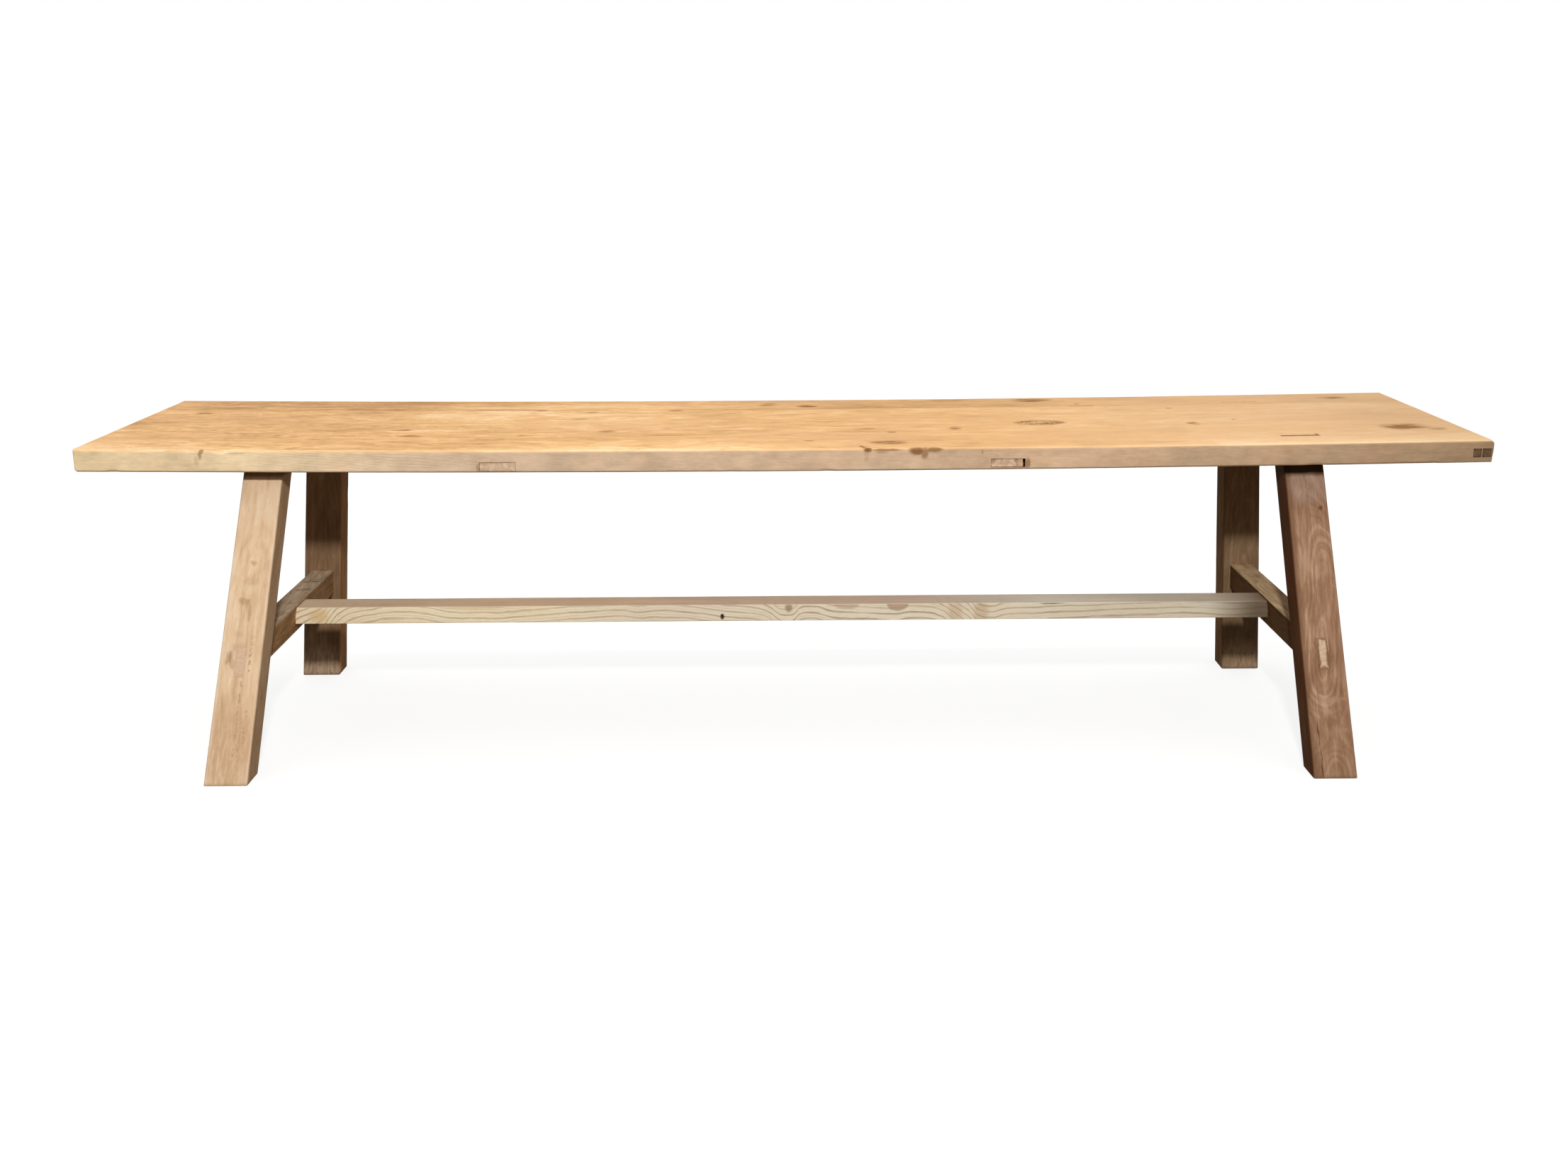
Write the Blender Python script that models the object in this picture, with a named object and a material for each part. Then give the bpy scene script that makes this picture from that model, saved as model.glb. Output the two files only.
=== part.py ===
"""Long wooden bench on four splayed legs, in metres. +Z is up, the floor is at zero, and -Y is the front.

Two seat boards meet edge to edge on loose tenons. Each leg passes through the seat as a tenon, each cross rail
passes through its two legs, and the stretcher passes through both rails. Every tenon is as wide as the piece
that it is cut on, and as thick as TENON_THICKNESS.
"""

import math

import bmesh
import bpy
import numpy as np

# Seat boards
SEAT_HEIGHT = 0.450  # floor to the top of the seat at its two ends
SEAT_LENGTH = 1.850
SEAT_WIDTH = 0.410
SEAT_THICKNESS = 0.030
SEAT_SAG = 0.006  # how far the boards have bowed down at mid length
SEAT_FACETS = 9  # flat stretches that make the bow, odd so that the middle one is level
REAR_BOARD_WIDTH = 0.083
CORNER_DEPTH = 0.002  # a worn front corner, along the seat's length
CORNER_RUN = 0.006  # the same corner, along the seat's end
CORNER_STEPS = 4

# Loose tenons, hidden in the joint of the two boards
LOOSE_TENON_LENGTH = 0.060
LOOSE_TENON_REACH = 0.022  # into each board
LOOSE_TENON_THICKNESS = 0.008
LOOSE_TENONS_BETWEEN_LEGS = 5

# Legs, whose sections are level ones, a little narrower towards the top
LEG_FOOT_WIDTH = 0.0595  # along X, at the floor
LEG_TOP_WIDTH = 0.0525  # along X, under the seat
LEG_DEPTH = 0.046  # along Y
LEG_END_INSET = 0.236  # from the seat's end to the leg's middle, under the seat
LEG_SIDE_INSET = 0.061  # from the seat's long edge to the leg's middle, under the seat
SIDE_SPLAY = math.radians(12.1)
END_SPLAYS = {"left": math.radians(8.6), "right": math.radians(6.7)}  # made by eye, so they differ

# Cross rails
RAIL_TOP = 0.186  # above the floor
RAIL_HEIGHT = 0.042
RAIL_THICKNESS = 0.035

# Stretcher
STRETCHER_DROP = 0.003  # its top below the rails' tops
STRETCHER_HEIGHT = 0.025
STRETCHER_WIDTH = 0.046
STRETCHER_SHIFT = 0.005  # towards the front
NAIL_HOLE_DIAMETER = 0.0055
NAIL_HOLE_DEPTH = 0.012
NAIL_HOLE_SIDES = 12
NAIL_HOLE_PLACE_SHARE = -0.13  # of the way from mid length to the leg's middle
NAIL_HOLE_RISE_SHARE = 0.30  # of the stretcher's height

# Plugs in the old mortises of the seat's front edge
PLUG_HEIGHT = 0.011
PLUG_DEPTH = 0.015
PLUG_LENGTHS = {"left": 0.047, "middle": 0.044, "right_inner": 0.0105, "right_outer": 0.012}
PLUG_PLACE_SHARES = {"left": -0.403, "middle": 0.3167}  # of half the seat's length, to the plug's middle
PLUG_RISE_SHARES = {"left": 0.07, "middle": 0.11, "right_inner": 0.23, "right_outer": 0.23}
PLUG_END_MARGIN = 0.001  # from the last plug to the worn corner
PLUG_WEB = 0.0015  # wood between the two right plugs

# Joints
TENON_THICKNESS = 0.0125
CLEARANCE = 0.0003
OVERRUN = 0.004  # how far a cutter runs past the face that it opens

HALF_LENGTH = SEAT_LENGTH / 2
HALF_WIDTH = SEAT_WIDTH / 2
UNDERSIDE = SEAT_HEIGHT - SEAT_THICKNESS
JOINT_Y = HALF_WIDTH - REAR_BOARD_WIDTH
SIDES = {"left": -1, "right": 1}
ROWS = {"front": -1, "back": 1}


def clear_scene():
    """Remove what is in the scene before the bench is made."""
    for found in list(bpy.data.objects):
        bpy.data.objects.remove(found)


def wood(name, colour, roughness):
    """Make one plain timber material."""
    material = bpy.data.materials.new(name)
    material.use_nodes = True
    shader = material.node_tree.nodes["Principled BSDF"]
    shader.inputs["Base Color"].default_value = (*colour, 1)
    shader.inputs["Roughness"].default_value = roughness
    shader.inputs["Metallic"].default_value = 0
    material.diffuse_color = (*colour, 1)
    return material


def loft_mesh(name, rings):
    """Make a closed mesh through rings of points that run the same way round, with a face at each end."""
    form = bmesh.new()
    rows = [[form.verts.new(point) for point in ring] for ring in rings]
    count = len(rows[0])
    form.faces.new(reversed(rows[0]))
    form.faces.new(rows[-1])
    for low, high in zip(rows, rows[1:]):
        for i in range(count):
            j = (i + 1) % count
            form.faces.new((low[i], low[j], high[j], high[i]))
    bmesh.ops.recalc_face_normals(form, faces=form.faces)
    mesh = bpy.data.meshes.new(name)
    form.to_mesh(mesh)
    form.free()
    return mesh


def place(mesh, material=None):
    """Put a mesh in the scene as one object with the mesh's name."""
    made = bpy.data.objects.new(mesh.name, mesh)
    bpy.context.collection.objects.link(made)
    if material:
        mesh.materials.append(material)
    return made


def cut(target, meshes):
    """Cut several closed meshes, which stay clear of each other, out of an object."""
    form = bmesh.new()
    for mesh in meshes:
        form.from_mesh(mesh)
        bpy.data.meshes.remove(mesh)
    joined = bpy.data.meshes.new(target.name + "_cutter")
    form.to_mesh(joined)
    form.free()
    cutter = place(joined)
    cutter.hide_render = True
    cutter.display_type = "WIRE"
    difference = target.modifiers.new("mortises", "BOOLEAN")
    difference.operation = "DIFFERENCE"
    difference.object = cutter


def level_ring(x_range, y_range, z):
    """Give the corners of a level rectangle."""
    (x0, x1), (y0, y1) = x_range, y_range
    return [(x0, y0, z), (x1, y0, z), (x1, y1, z), (x0, y1, z)]


def block_mesh(name, x_range, y_range, z_range):
    """Make a square block."""
    return loft_mesh(name, [level_ring(x_range, y_range, z) for z in z_range])


def spread(centre, half):
    """Give the two places that lie half a size either side of a centre."""
    return (centre - half, centre + half)


# Where the seat, the legs and the rails lie


def station_xs():
    """List the places along the seat where its bow bends."""
    return np.linspace(-HALF_LENGTH, HALF_LENGTH, SEAT_FACETS + 1)


def bow(x):
    """Give how far the seat lies below its ends at x."""
    xs = station_xs()
    return float(np.interp(x, xs, SEAT_SAG * (1 - (xs / HALF_LENGTH) ** 2)))


def leg_x(side, z):
    """Give the middle of a leg, and of the rail in it, along X at a height."""
    return SIDES[side] * (HALF_LENGTH - LEG_END_INSET + (UNDERSIDE - z) * math.tan(END_SPLAYS[side]))


def leg_half_width(z):
    """Give half a leg's width along X at a height."""
    taper = (LEG_FOOT_WIDTH - LEG_TOP_WIDTH) / UNDERSIDE
    return (LEG_FOOT_WIDTH - taper * z) / 2


def leg_y(z):
    """Give the middle of a leg along Y at a height, measured outwards."""
    return HALF_WIDTH - LEG_SIDE_INSET + (UNDERSIDE - z) * math.tan(SIDE_SPLAY)


def leg_end_y(z):
    """Give the outer face of a leg along Y at a height."""
    return leg_y(z) + LEG_DEPTH / 2


# Seat


def corner_offset(x):
    """Give how far the worn front corners bring the front edge back at x."""
    along = (abs(x) - (HALF_LENGTH - CORNER_DEPTH)) / CORNER_DEPTH
    return CORNER_RUN * (1 - math.sqrt(max(0, 1 - max(0, along) ** 2)))


def corner_xs():
    """List the places along the seat that the worn corners need, out to its right end."""
    turns = [step * math.pi / 2 / CORNER_STEPS for step in range(CORNER_STEPS + 1)]
    return [HALF_LENGTH - CORNER_DEPTH * (1 - math.sin(turn)) for turn in turns]


def board_mesh(name, front_y, back_y, worn):
    """Make one seat board, bowed along its length, with its front corners worn or square."""
    xs = list(station_xs())
    if worn:
        ends = corner_xs()[:-1]
        xs = sorted(xs + ends + [-x for x in ends])
    rings = []
    for x in xs:
        y = front_y + (corner_offset(x) if worn else 0)
        top = SEAT_HEIGHT - bow(x)
        low = top - SEAT_THICKNESS
        rings.append([(x, y, low), (x, back_y, low), (x, back_y, top), (x, y, top)])
    return loft_mesh(name, rings)


def seat_mortise(side, row):
    """Make the cutter for one leg's tenon, which follows the leg's slope right through the seat."""
    half_y = TENON_THICKNESS / 2 + CLEARANCE
    rings = []
    for z in (UNDERSIDE - SEAT_SAG - OVERRUN, SEAT_HEIGHT + OVERRUN):
        half_x = leg_half_width(z) + CLEARANCE
        rings.append(level_ring(spread(leg_x(side, z), half_x), spread(ROWS[row] * leg_y(z), half_y), z))
    return loft_mesh(f"mortise_{row}_{side}", rings)


def loose_tenon_xs():
    """List the middles of the loose tenons: some evenly between the legs, and one beyond each leg."""
    half_leg = leg_half_width(UNDERSIDE)
    inner = [leg_x(side, UNDERSIDE) - SIDES[side] * half_leg for side in SIDES]
    outer = [leg_x(side, UNDERSIDE) + SIDES[side] * half_leg for side in SIDES]
    between = np.linspace(inner[0], inner[1], LOOSE_TENONS_BETWEEN_LEGS + 2)[1:-1]
    return [(outer[0] - HALF_LENGTH) / 2, *between, (outer[1] + HALF_LENGTH) / 2]


def loose_tenon_mesh(name, x, gap):
    """Make one loose tenon, or with a gap the pocket that it sits in."""
    middle = SEAT_HEIGHT - bow(x) - SEAT_THICKNESS / 2
    return block_mesh(
        name,
        spread(x, LOOSE_TENON_LENGTH / 2 + gap),
        spread(JOINT_Y, LOOSE_TENON_REACH + gap),
        spread(middle, LOOSE_TENON_THICKNESS / 2 + gap),
    )


def plug_x(name):
    """Give the middle of a plug along the seat."""
    if name in PLUG_PLACE_SHARES:
        return PLUG_PLACE_SHARES[name] * HALF_LENGTH
    outer_end = HALF_LENGTH - CORNER_DEPTH - PLUG_END_MARGIN
    outer = outer_end - PLUG_LENGTHS["right_outer"] / 2
    if name == "right_outer":
        return outer
    return outer - (PLUG_LENGTHS["right_outer"] + PLUG_LENGTHS["right_inner"]) / 2 - PLUG_WEB


def plug_mesh(name, label, gap, front):
    """Make one plug, flush with the seat's front edge, or with a gap the old mortise around it."""
    x = plug_x(label)
    low = UNDERSIDE - bow(x) + PLUG_RISE_SHARES[label] * SEAT_THICKNESS
    return block_mesh(
        name,
        spread(x, PLUG_LENGTHS[label] / 2 + gap),
        (front, -HALF_WIDTH + PLUG_DEPTH + gap),
        (low - gap, low + PLUG_HEIGHT + gap),
    )


def make_seat(material, plug_material):
    """Make the two boards, the loose tenons between them and the plugs in the front edge."""
    half_gap = CLEARANCE / 2
    front = place(board_mesh("seat_board_front", -HALF_WIDTH, JOINT_Y - half_gap, True), material)
    rear = place(board_mesh("seat_board_rear", JOINT_Y + half_gap, HALF_WIDTH, False), material)
    for row, board in (("front", front), ("back", rear)):
        pockets = [seat_mortise(side, row) for side in SIDES]
        pockets += [loose_tenon_mesh("pocket", x, CLEARANCE) for x in loose_tenon_xs()]
        if row == "front":
            open_front = -HALF_WIDTH - OVERRUN
            pockets += [plug_mesh("pocket", label, CLEARANCE, open_front) for label in PLUG_LENGTHS]
        cut(board, pockets)
    for number, x in enumerate(loose_tenon_xs(), 1):
        place(loose_tenon_mesh(f"seat_loose_tenon_{number}", x, 0), plug_material)
    for label in PLUG_LENGTHS:
        place(plug_mesh(f"edge_plug_{label}", label, 0, -HALF_WIDTH), plug_material)


# Legs


def leg_mesh(side, row):
    """Make a leg from the floor to the top of the seat, as its side profile drawn out across its width."""

    def tenon_edge(edge, z):
        return ROWS[row] * leg_y(z) + edge * TENON_THICKNESS / 2

    def leg_edge(edge, z):
        return ROWS[row] * leg_y(z) + edge * LEG_DEPTH / 2

    rings = []
    for across in (-1, 1):

        def point(edge_place, edge, z):
            return (leg_x(side, z) + across * leg_half_width(z), edge_place(edge, z), z)

        edge_x = leg_x(side, UNDERSIDE) + across * leg_half_width(UNDERSIDE)
        shoulder = UNDERSIDE - bow(edge_x) - CLEARANCE
        top = SEAT_HEIGHT - bow(edge_x)
        rings.append(
            [
                point(leg_edge, -1, 0),
                point(leg_edge, 1, 0),
                point(leg_edge, 1, shoulder),
                point(tenon_edge, 1, shoulder),
                point(tenon_edge, 1, top),
                point(tenon_edge, -1, top),
                point(tenon_edge, -1, shoulder),
                point(leg_edge, -1, shoulder),
            ]
        )
    return loft_mesh(f"leg_{row}_{side}", rings)


def rail_mortise(side, row):
    """Make the cutter for a rail's tenon, right through a leg from front to back."""
    half_x = TENON_THICKNESS / 2 + CLEARANCE
    rings = []
    for z in (RAIL_TOP - RAIL_HEIGHT - CLEARANCE, RAIL_TOP + CLEARANCE):
        outer = leg_end_y(z) + OVERRUN
        inner = leg_end_y(z) - LEG_DEPTH - OVERRUN
        ys = sorted((ROWS[row] * inner, ROWS[row] * outer))
        rings.append(level_ring(spread(leg_x(side, z), half_x), ys, z))
    return loft_mesh("mortise", rings)


def make_legs(material):
    """Make the four legs with the rails' mortises in them."""
    for row in ROWS:
        for side in SIDES:
            leg = place(leg_mesh(side, row), material)
            cut(leg, [rail_mortise(side, row)])


# Rails and stretcher


def rail_mesh(side):
    """Make a cross rail with a tenon at each end, cut flush with the legs' outer faces."""
    rings = []
    for z in (RAIL_TOP - RAIL_HEIGHT, RAIL_TOP):
        x = leg_x(side, z)
        end = leg_end_y(z)
        shoulder = end - LEG_DEPTH - CLEARANCE
        thin = TENON_THICKNESS / 2
        thick = RAIL_THICKNESS / 2
        half_outline = [(thin, end), (thin, shoulder), (thick, shoulder)]
        right = [(x + dx, y, z) for dx, y in half_outline] + [(x + dx, -y, z) for dx, y in reversed(half_outline)]
        left = [(x - dx, -y, z) for dx, y in half_outline] + [(x - dx, y, z) for dx, y in reversed(half_outline)]
        rings.append(right + left)
    return loft_mesh(f"rail_{side}", rings)


def stretcher_middle():
    """Give the stretcher's middle in Y and Z."""
    return -STRETCHER_SHIFT, RAIL_TOP - STRETCHER_DROP - STRETCHER_HEIGHT / 2


def stretcher_mortise(side):
    """Make the cutter for one end of the stretcher, right through the rail."""
    y, z_middle = stretcher_middle()
    half_x = RAIL_THICKNESS / 2 + OVERRUN
    half_y = STRETCHER_WIDTH / 2 + CLEARANCE
    rings = []
    for z in spread(z_middle, TENON_THICKNESS / 2 + CLEARANCE):
        rings.append(level_ring(spread(leg_x(side, z), half_x), spread(y, half_y), z))
    return loft_mesh("mortise", rings)


def stretcher_mesh():
    """Make the stretcher with a tenon at each end, as its front profile drawn out across its width."""
    y_middle, z_middle = stretcher_middle()
    low, high = spread(z_middle, STRETCHER_HEIGHT / 2)
    tenon_low, tenon_high = spread(z_middle, TENON_THICKNESS / 2)

    def end_x(side, z):
        return leg_x(side, z) + SIDES[side] * RAIL_THICKNESS / 2

    def shoulder_x(side, z):
        return leg_x(side, z) - SIDES[side] * (RAIL_THICKNESS / 2 + CLEARANCE)

    rings = []
    for y in spread(y_middle, STRETCHER_WIDTH / 2):
        profile = []
        for side, heights in (("right", (low, tenon_low, tenon_high, high)), ("left", (high, tenon_high, tenon_low, low))):
            first, second, third, fourth = heights
            profile += [
                (shoulder_x(side, first), y, first),
                (shoulder_x(side, second), y, second),
                (end_x(side, second), y, second),
                (end_x(side, third), y, third),
                (shoulder_x(side, third), y, third),
                (shoulder_x(side, fourth), y, fourth),
            ]
        rings.append(profile)
    return loft_mesh("stretcher", rings)


def nail_hole():
    """Make the cutter for the old nail hole in the stretcher's front face."""
    y_middle, z_middle = stretcher_middle()
    front = y_middle - STRETCHER_WIDTH / 2
    x = NAIL_HOLE_PLACE_SHARE * (HALF_LENGTH - LEG_END_INSET)
    z = z_middle + (NAIL_HOLE_RISE_SHARE - 0.5) * STRETCHER_HEIGHT
    radius = NAIL_HOLE_DIAMETER / 2
    turns = [side * 2 * math.pi / NAIL_HOLE_SIDES for side in range(NAIL_HOLE_SIDES)]
    rings = []
    for y in (front - OVERRUN, front + NAIL_HOLE_DEPTH):
        rings.append([(x + radius * math.cos(turn), y, z + radius * math.sin(turn)) for turn in turns])
    return loft_mesh("nail_hole", rings)


def make_rails_and_stretcher(rail_material, stretcher_material):
    """Make both rails with the stretcher's mortises, and the stretcher."""
    for side in SIDES:
        cut(place(rail_mesh(side), rail_material), [stretcher_mortise(side)])
    cut(place(stretcher_mesh(), stretcher_material), [nail_hole()])


def main():
    clear_scene()
    seat_wood = wood("seat_elm", (0.60, 0.37, 0.18), 0.55)
    leg_wood = wood("leg_elm", (0.42, 0.24, 0.13), 0.6)
    rail_wood = wood("rail_elm", (0.40, 0.26, 0.15), 0.65)
    stretcher_wood = wood("stretcher_elm", (0.58, 0.42, 0.24), 0.6)
    plug_wood = wood("plug_elm", (0.36, 0.22, 0.13), 0.65)
    make_seat(seat_wood, plug_wood)
    make_legs(leg_wood)
    make_rails_and_stretcher(rail_wood, stretcher_wood)


main()
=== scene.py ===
import math
from functools import partialmethod

import bmesh
import bpy
import numpy as np
from mathutils import Matrix, Vector, noise


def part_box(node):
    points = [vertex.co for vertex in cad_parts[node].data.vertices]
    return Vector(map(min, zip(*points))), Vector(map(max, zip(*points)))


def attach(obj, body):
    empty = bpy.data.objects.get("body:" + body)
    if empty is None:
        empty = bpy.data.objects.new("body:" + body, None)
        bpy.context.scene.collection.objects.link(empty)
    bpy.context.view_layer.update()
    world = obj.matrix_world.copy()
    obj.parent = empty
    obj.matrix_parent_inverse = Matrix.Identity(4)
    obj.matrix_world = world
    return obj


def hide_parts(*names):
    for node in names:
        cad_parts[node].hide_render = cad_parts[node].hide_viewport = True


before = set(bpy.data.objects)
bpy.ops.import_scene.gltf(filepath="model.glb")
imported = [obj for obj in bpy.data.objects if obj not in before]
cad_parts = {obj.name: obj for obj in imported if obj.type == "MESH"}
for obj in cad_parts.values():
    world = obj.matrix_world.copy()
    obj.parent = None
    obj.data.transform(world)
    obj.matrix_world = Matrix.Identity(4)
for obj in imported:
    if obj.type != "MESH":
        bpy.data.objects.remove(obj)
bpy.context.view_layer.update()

# The looks of a long elm bench. Every visible piece is lofted again from the frame's own sizes, with
# worn arrises, and its wood is a field of growth rings that bends round the knots. Metres, front at -Y.
# Tables of places are in millimetres.

SIDES = {"left": -1, "right": 1}
ROWS = {"front": -1, "back": 1}
TINY = 0.0001
MM = 0.001

# Camera, found from the bench's corners in the photograph
PHOTO_WIDTH = 2212
FOCAL_PIXELS = 2264
SENSOR = 36
CAMERA_PLACE = (0.0011, -2.2626, 0.8274)
CAMERA_PITCH = 0.27058
CAMERA_YAW = -0.00073
CAMERA_ROLL = -0.00713

# Light
KEY_PLACE = (0.06, -2.35, 1.53)
KEY_AIM = (0, -0.1, 0.35)
KEY_SIZE = 0.14
KEY_POWER = 50
KEY_COLOUR = (1, 0.985, 0.96)
SKY_COLOUR = (1, 0.99, 0.975)
SKY_LOW = 0.145
SKY_HIGH = 2.45
SKY_RISE = 4  # the light gathers overhead, so faces turned from the lamp stay dark
WHITE = (1, 1, 1)
FLOOR_BOUNCE = (0.13, 0.1, 0.07)
FLOOR_GLOW = 0.8
FLOOR_SHADE = 0.25
FLOOR_REACH = 30


def in_metres(rows, count):
    """Turn the first few numbers of each row from millimetres into metres."""
    return [tuple(value * MM for value in row[:count]) + tuple(row[count:]) for row in rows]


def halves(low, high):
    """Give the middle and half the length of a stretch."""
    return (low + high) / 2, (high - low) / 2


# Sizes read from the frame


def corners(node):
    """List a CAD node's corners, each of them once."""
    found = np.array([vertex.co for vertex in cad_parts[node].data.vertices], float)
    return np.unique(np.round(found, 6), axis=0)


SEAT_LOW, SEAT_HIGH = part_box("seat_board_front")
REAR_LOW, REAR_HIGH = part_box("seat_board_rear")
HALF_LENGTH = SEAT_HIGH.x
SEAT_TOP = SEAT_HIGH.z
BACK_EDGE = corners("seat_board_rear")[corners("seat_board_rear")[:, 1] > REAR_HIGH.y - TINY]
SEAT_END = BACK_EDGE[BACK_EDGE[:, 0] > HALF_LENGTH - TINY]
THICKNESS = float(SEAT_END[:, 2].max() - SEAT_END[:, 2].min())
SAG = SEAT_TOP - THICKNESS - REAR_LOW.z
FRONT_Y = SEAT_LOW.y
JOINT_Y = (SEAT_HIGH.y + REAR_LOW.y) / 2


def bow(x):
    """Give how far the seat lies below its ends at x."""
    return SAG * (1 - (x / HALF_LENGTH) ** 2)


def half_width(places, axis):
    """Give half of what places span along an axis."""
    return float(np.ptp(places[:, axis])) / 2


class Leg:
    """The line, section, shoulder and tenon of one leg, read from its CAD node."""

    def __init__(self, row, side):
        found = corners(f"leg_{row}_{side}")
        foot = found[found[:, 2] < TINY]
        crown = found[found[:, 2] > SEAT_TOP - SAG - THICKNESS / 2]
        middle = crown.mean(0)
        self.row = ROWS[row]
        self.foot_x, self.foot_y = (float(value) for value in foot.mean(0)[:2])
        self.slope_x = float(middle[0] - self.foot_x) / float(middle[2])
        self.slope_y = float(middle[1] - self.foot_y) / float(middle[2])
        self.foot_half = half_width(foot, 0)
        self.half_y = half_width(foot, 1)
        self.tenon_half_y = half_width(crown[crown[:, 0] < middle[0]], 1)
        under = found[(found[:, 2] < SEAT_TOP - THICKNESS) & (found[:, 2] > SEAT_TOP / 2)]
        self.shoulder = float(under[:, 2].mean())
        self.crown = float(middle[2])
        self.taper = (self.foot_half - half_width(crown, 0)) / self.crown

    def half_x(self, z):
        return self.foot_half - self.taper * z

    def x(self, z):
        return self.foot_x + self.slope_x * z

    def y(self, z):
        return self.foot_y + self.slope_y * z


LEGS = {(row, side): Leg(row, side) for row in ROWS for side in SIDES}


# Worn meshes

CORNER = 6  # segments round one arris
EASE_STEPS = 4  # rings that round an end
SHARP_ANGLE = math.radians(38)


def linked(name, data):
    """Make an object and put it in the scene."""
    made = bpy.data.objects.new(name, data)
    bpy.context.collection.objects.link(made)
    return made


def mesh_from(name, form):
    """Turn an edited form into a mesh."""
    mesh = bpy.data.meshes.new(name)
    form.to_mesh(mesh)
    form.free()
    return mesh


def rounded_ring(half_u, half_v, radii, splits):
    """List (u, v, normal u, normal v) round a rectangle with four rounded corners, from the lower left."""
    ring = []

    def arc(index, first, last):
        corner = index % 4
        sign_u, sign_v = ((-1, -1), (1, -1), (1, 1), (-1, 1))[corner]
        radius = radii[corner]
        for step in range(first, last):
            turn = math.pi * (1 + corner / 2 + step / CORNER / 2)
            ring.append((
                sign_u * (half_u - radius) + radius * math.cos(turn),
                sign_v * (half_v - radius) + radius * math.sin(turn),
                math.cos(turn), math.sin(turn),
            ))

    for side in range(4):
        arc(side, CORNER // 2, CORNER + 1)
        start = ring[-1]
        arc(side + 1, 0, 1)
        end = ring.pop()
        for step in range(1, splits[side % 2]):
            share = step / splits[side % 2]
            ring.append(tuple(a + (b - a) * share for a, b in zip(start, end)))
        arc(side + 1, 0, CORNER // 2)
    return ring


def cap(form, row, splits, flip):
    """Close a ring of vertices with a grid that blends its four sides."""
    width, height = splits[0] + CORNER, splits[1] + CORNER
    low = row[:width + 1]
    right = row[width:width + height + 1]
    high = [row[(2 * width + height - i) % len(row)] for i in range(width + 1)]
    left = [row[-j % len(row)] for j in range(height + 1)]
    grid = {}
    for i in range(width + 1):
        for j in range(height + 1):
            if j in (0, height) or i in (0, width):
                side = low if j == 0 else high if j == height else left if i == 0 else right
                grid[i, j] = side[i] if j in (0, height) else side[j]
                continue
            a, b = i / width, j / height
            place = (1 - b) * low[i].co + b * high[i].co + (1 - a) * left[j].co + a * right[j].co
            place -= (1 - a) * (1 - b) * low[0].co + a * (1 - b) * low[-1].co
            place -= (1 - a) * b * high[0].co + a * b * high[-1].co
            grid[i, j] = form.verts.new(place)
    for i in range(width):
        for j in range(height):
            face = [grid[i, j], grid[i + 1, j], grid[i + 1, j + 1], grid[i, j + 1]]
            form.faces.new(reversed(face) if flip else face)


def walls(form, rings):
    """Join rings of places by faces, and give their vertices."""
    rows = [[form.verts.new(place) for place in ring] for ring in rings]
    for low, high in zip(rows, rows[1:]):
        for i in range(len(low)):
            j = (i + 1) % len(low)
            form.faces.new((low[i], low[j], high[j], high[i]))
    return rows


def loft(name, rings, splits):
    """Make a closed piece through rings of places, with a grid at each end."""
    form = bmesh.new()
    rows = walls(form, rings)
    cap(form, rows[0], splits, True)
    cap(form, rows[-1], splits, False)
    bmesh.ops.recalc_face_normals(form, faces=form.faces)
    return linked(name, mesh_from(name, form))


def wave(*place):
    """Give smooth noise from 0 to 1."""
    return min(1, max(0, 0.5 + 0.5 * noise.noise(Vector(place))))


def worn_radius(size, along, arris, seed):
    """Give an arris's radius at a place along it, never the same for long, with a few old knocks."""
    slow = wave(along * 7, arris * 5.3, seed)
    quick = wave(along * 45, arris * 9.1, seed + 20)
    knock = max(0, wave(along * 28, arris * 3.7, seed + 40) - 0.72) * 6
    return size * (0.55 + 0.6 * slow + 0.35 * quick + knock)


def worn_radii(size, along, seed):
    """List the radii of a section's four arrises."""
    return [worn_radius(size, along, arris, seed) for arris in range(4)]


def unevenness(along, across, through, seed):
    """Give how far a hand-planed face lies below its true plane."""
    broad = wave(along * 9, across * 22, through * 22 + seed)
    narrow = wave(along * 30, across * 90, through * 90 + seed + 7)
    return 0.00022 * broad + 0.0001 * narrow


def eased_stations(low, high, pitch, ease):
    """List (place, inset) from one end to the other, with the last few places rounding the ends."""
    turns = [math.pi / 2 * step / EASE_STEPS for step in range(EASE_STEPS)]
    ends = [(ease * (1 - math.sin(math.pi / 2 - turn)), ease * (1 - math.sin(turn))) for turn in turns]
    count = max(2, round((high - low - 2 * ease) / pitch))
    inner = [(low + ease + (high - low - 2 * ease) * step / count, 0) for step in range(count + 1)]
    first = [(low + deep, inset) for deep, inset in ends]
    return first + inner + [(high - deep, inset) for deep, inset in reversed(ends)]


def carve(target, cutters):
    """Cut plain closed forms, each given as rings of corners, out of a piece."""
    form = bmesh.new()
    for rings in cutters:
        rows = walls(form, rings)
        form.faces.new(reversed(rows[0]))
        form.faces.new(rows[-1])
    bmesh.ops.recalc_face_normals(form, faces=form.faces)
    cutter = mesh_from("cutter", form)
    tool = linked("cutter", cutter)
    difference = target.modifiers.new("carve", "BOOLEAN")
    difference.operation = "DIFFERENCE"
    difference.solver = "MANIFOLD"
    difference.object = tool
    bpy.context.view_layer.update()
    whole = target.evaluated_get(bpy.context.evaluated_depsgraph_get())
    mesh = bpy.data.meshes.new_from_object(whole)
    target.modifiers.clear()
    target.data = mesh
    bpy.data.objects.remove(tool)
    bpy.data.meshes.remove(cutter)


def rectangle(x0, x1, y0, y1, z):
    """List the corners of a level rectangle."""
    return [(x0, y0, z), (x1, y0, z), (x1, y1, z), (x0, y1, z)]


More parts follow.
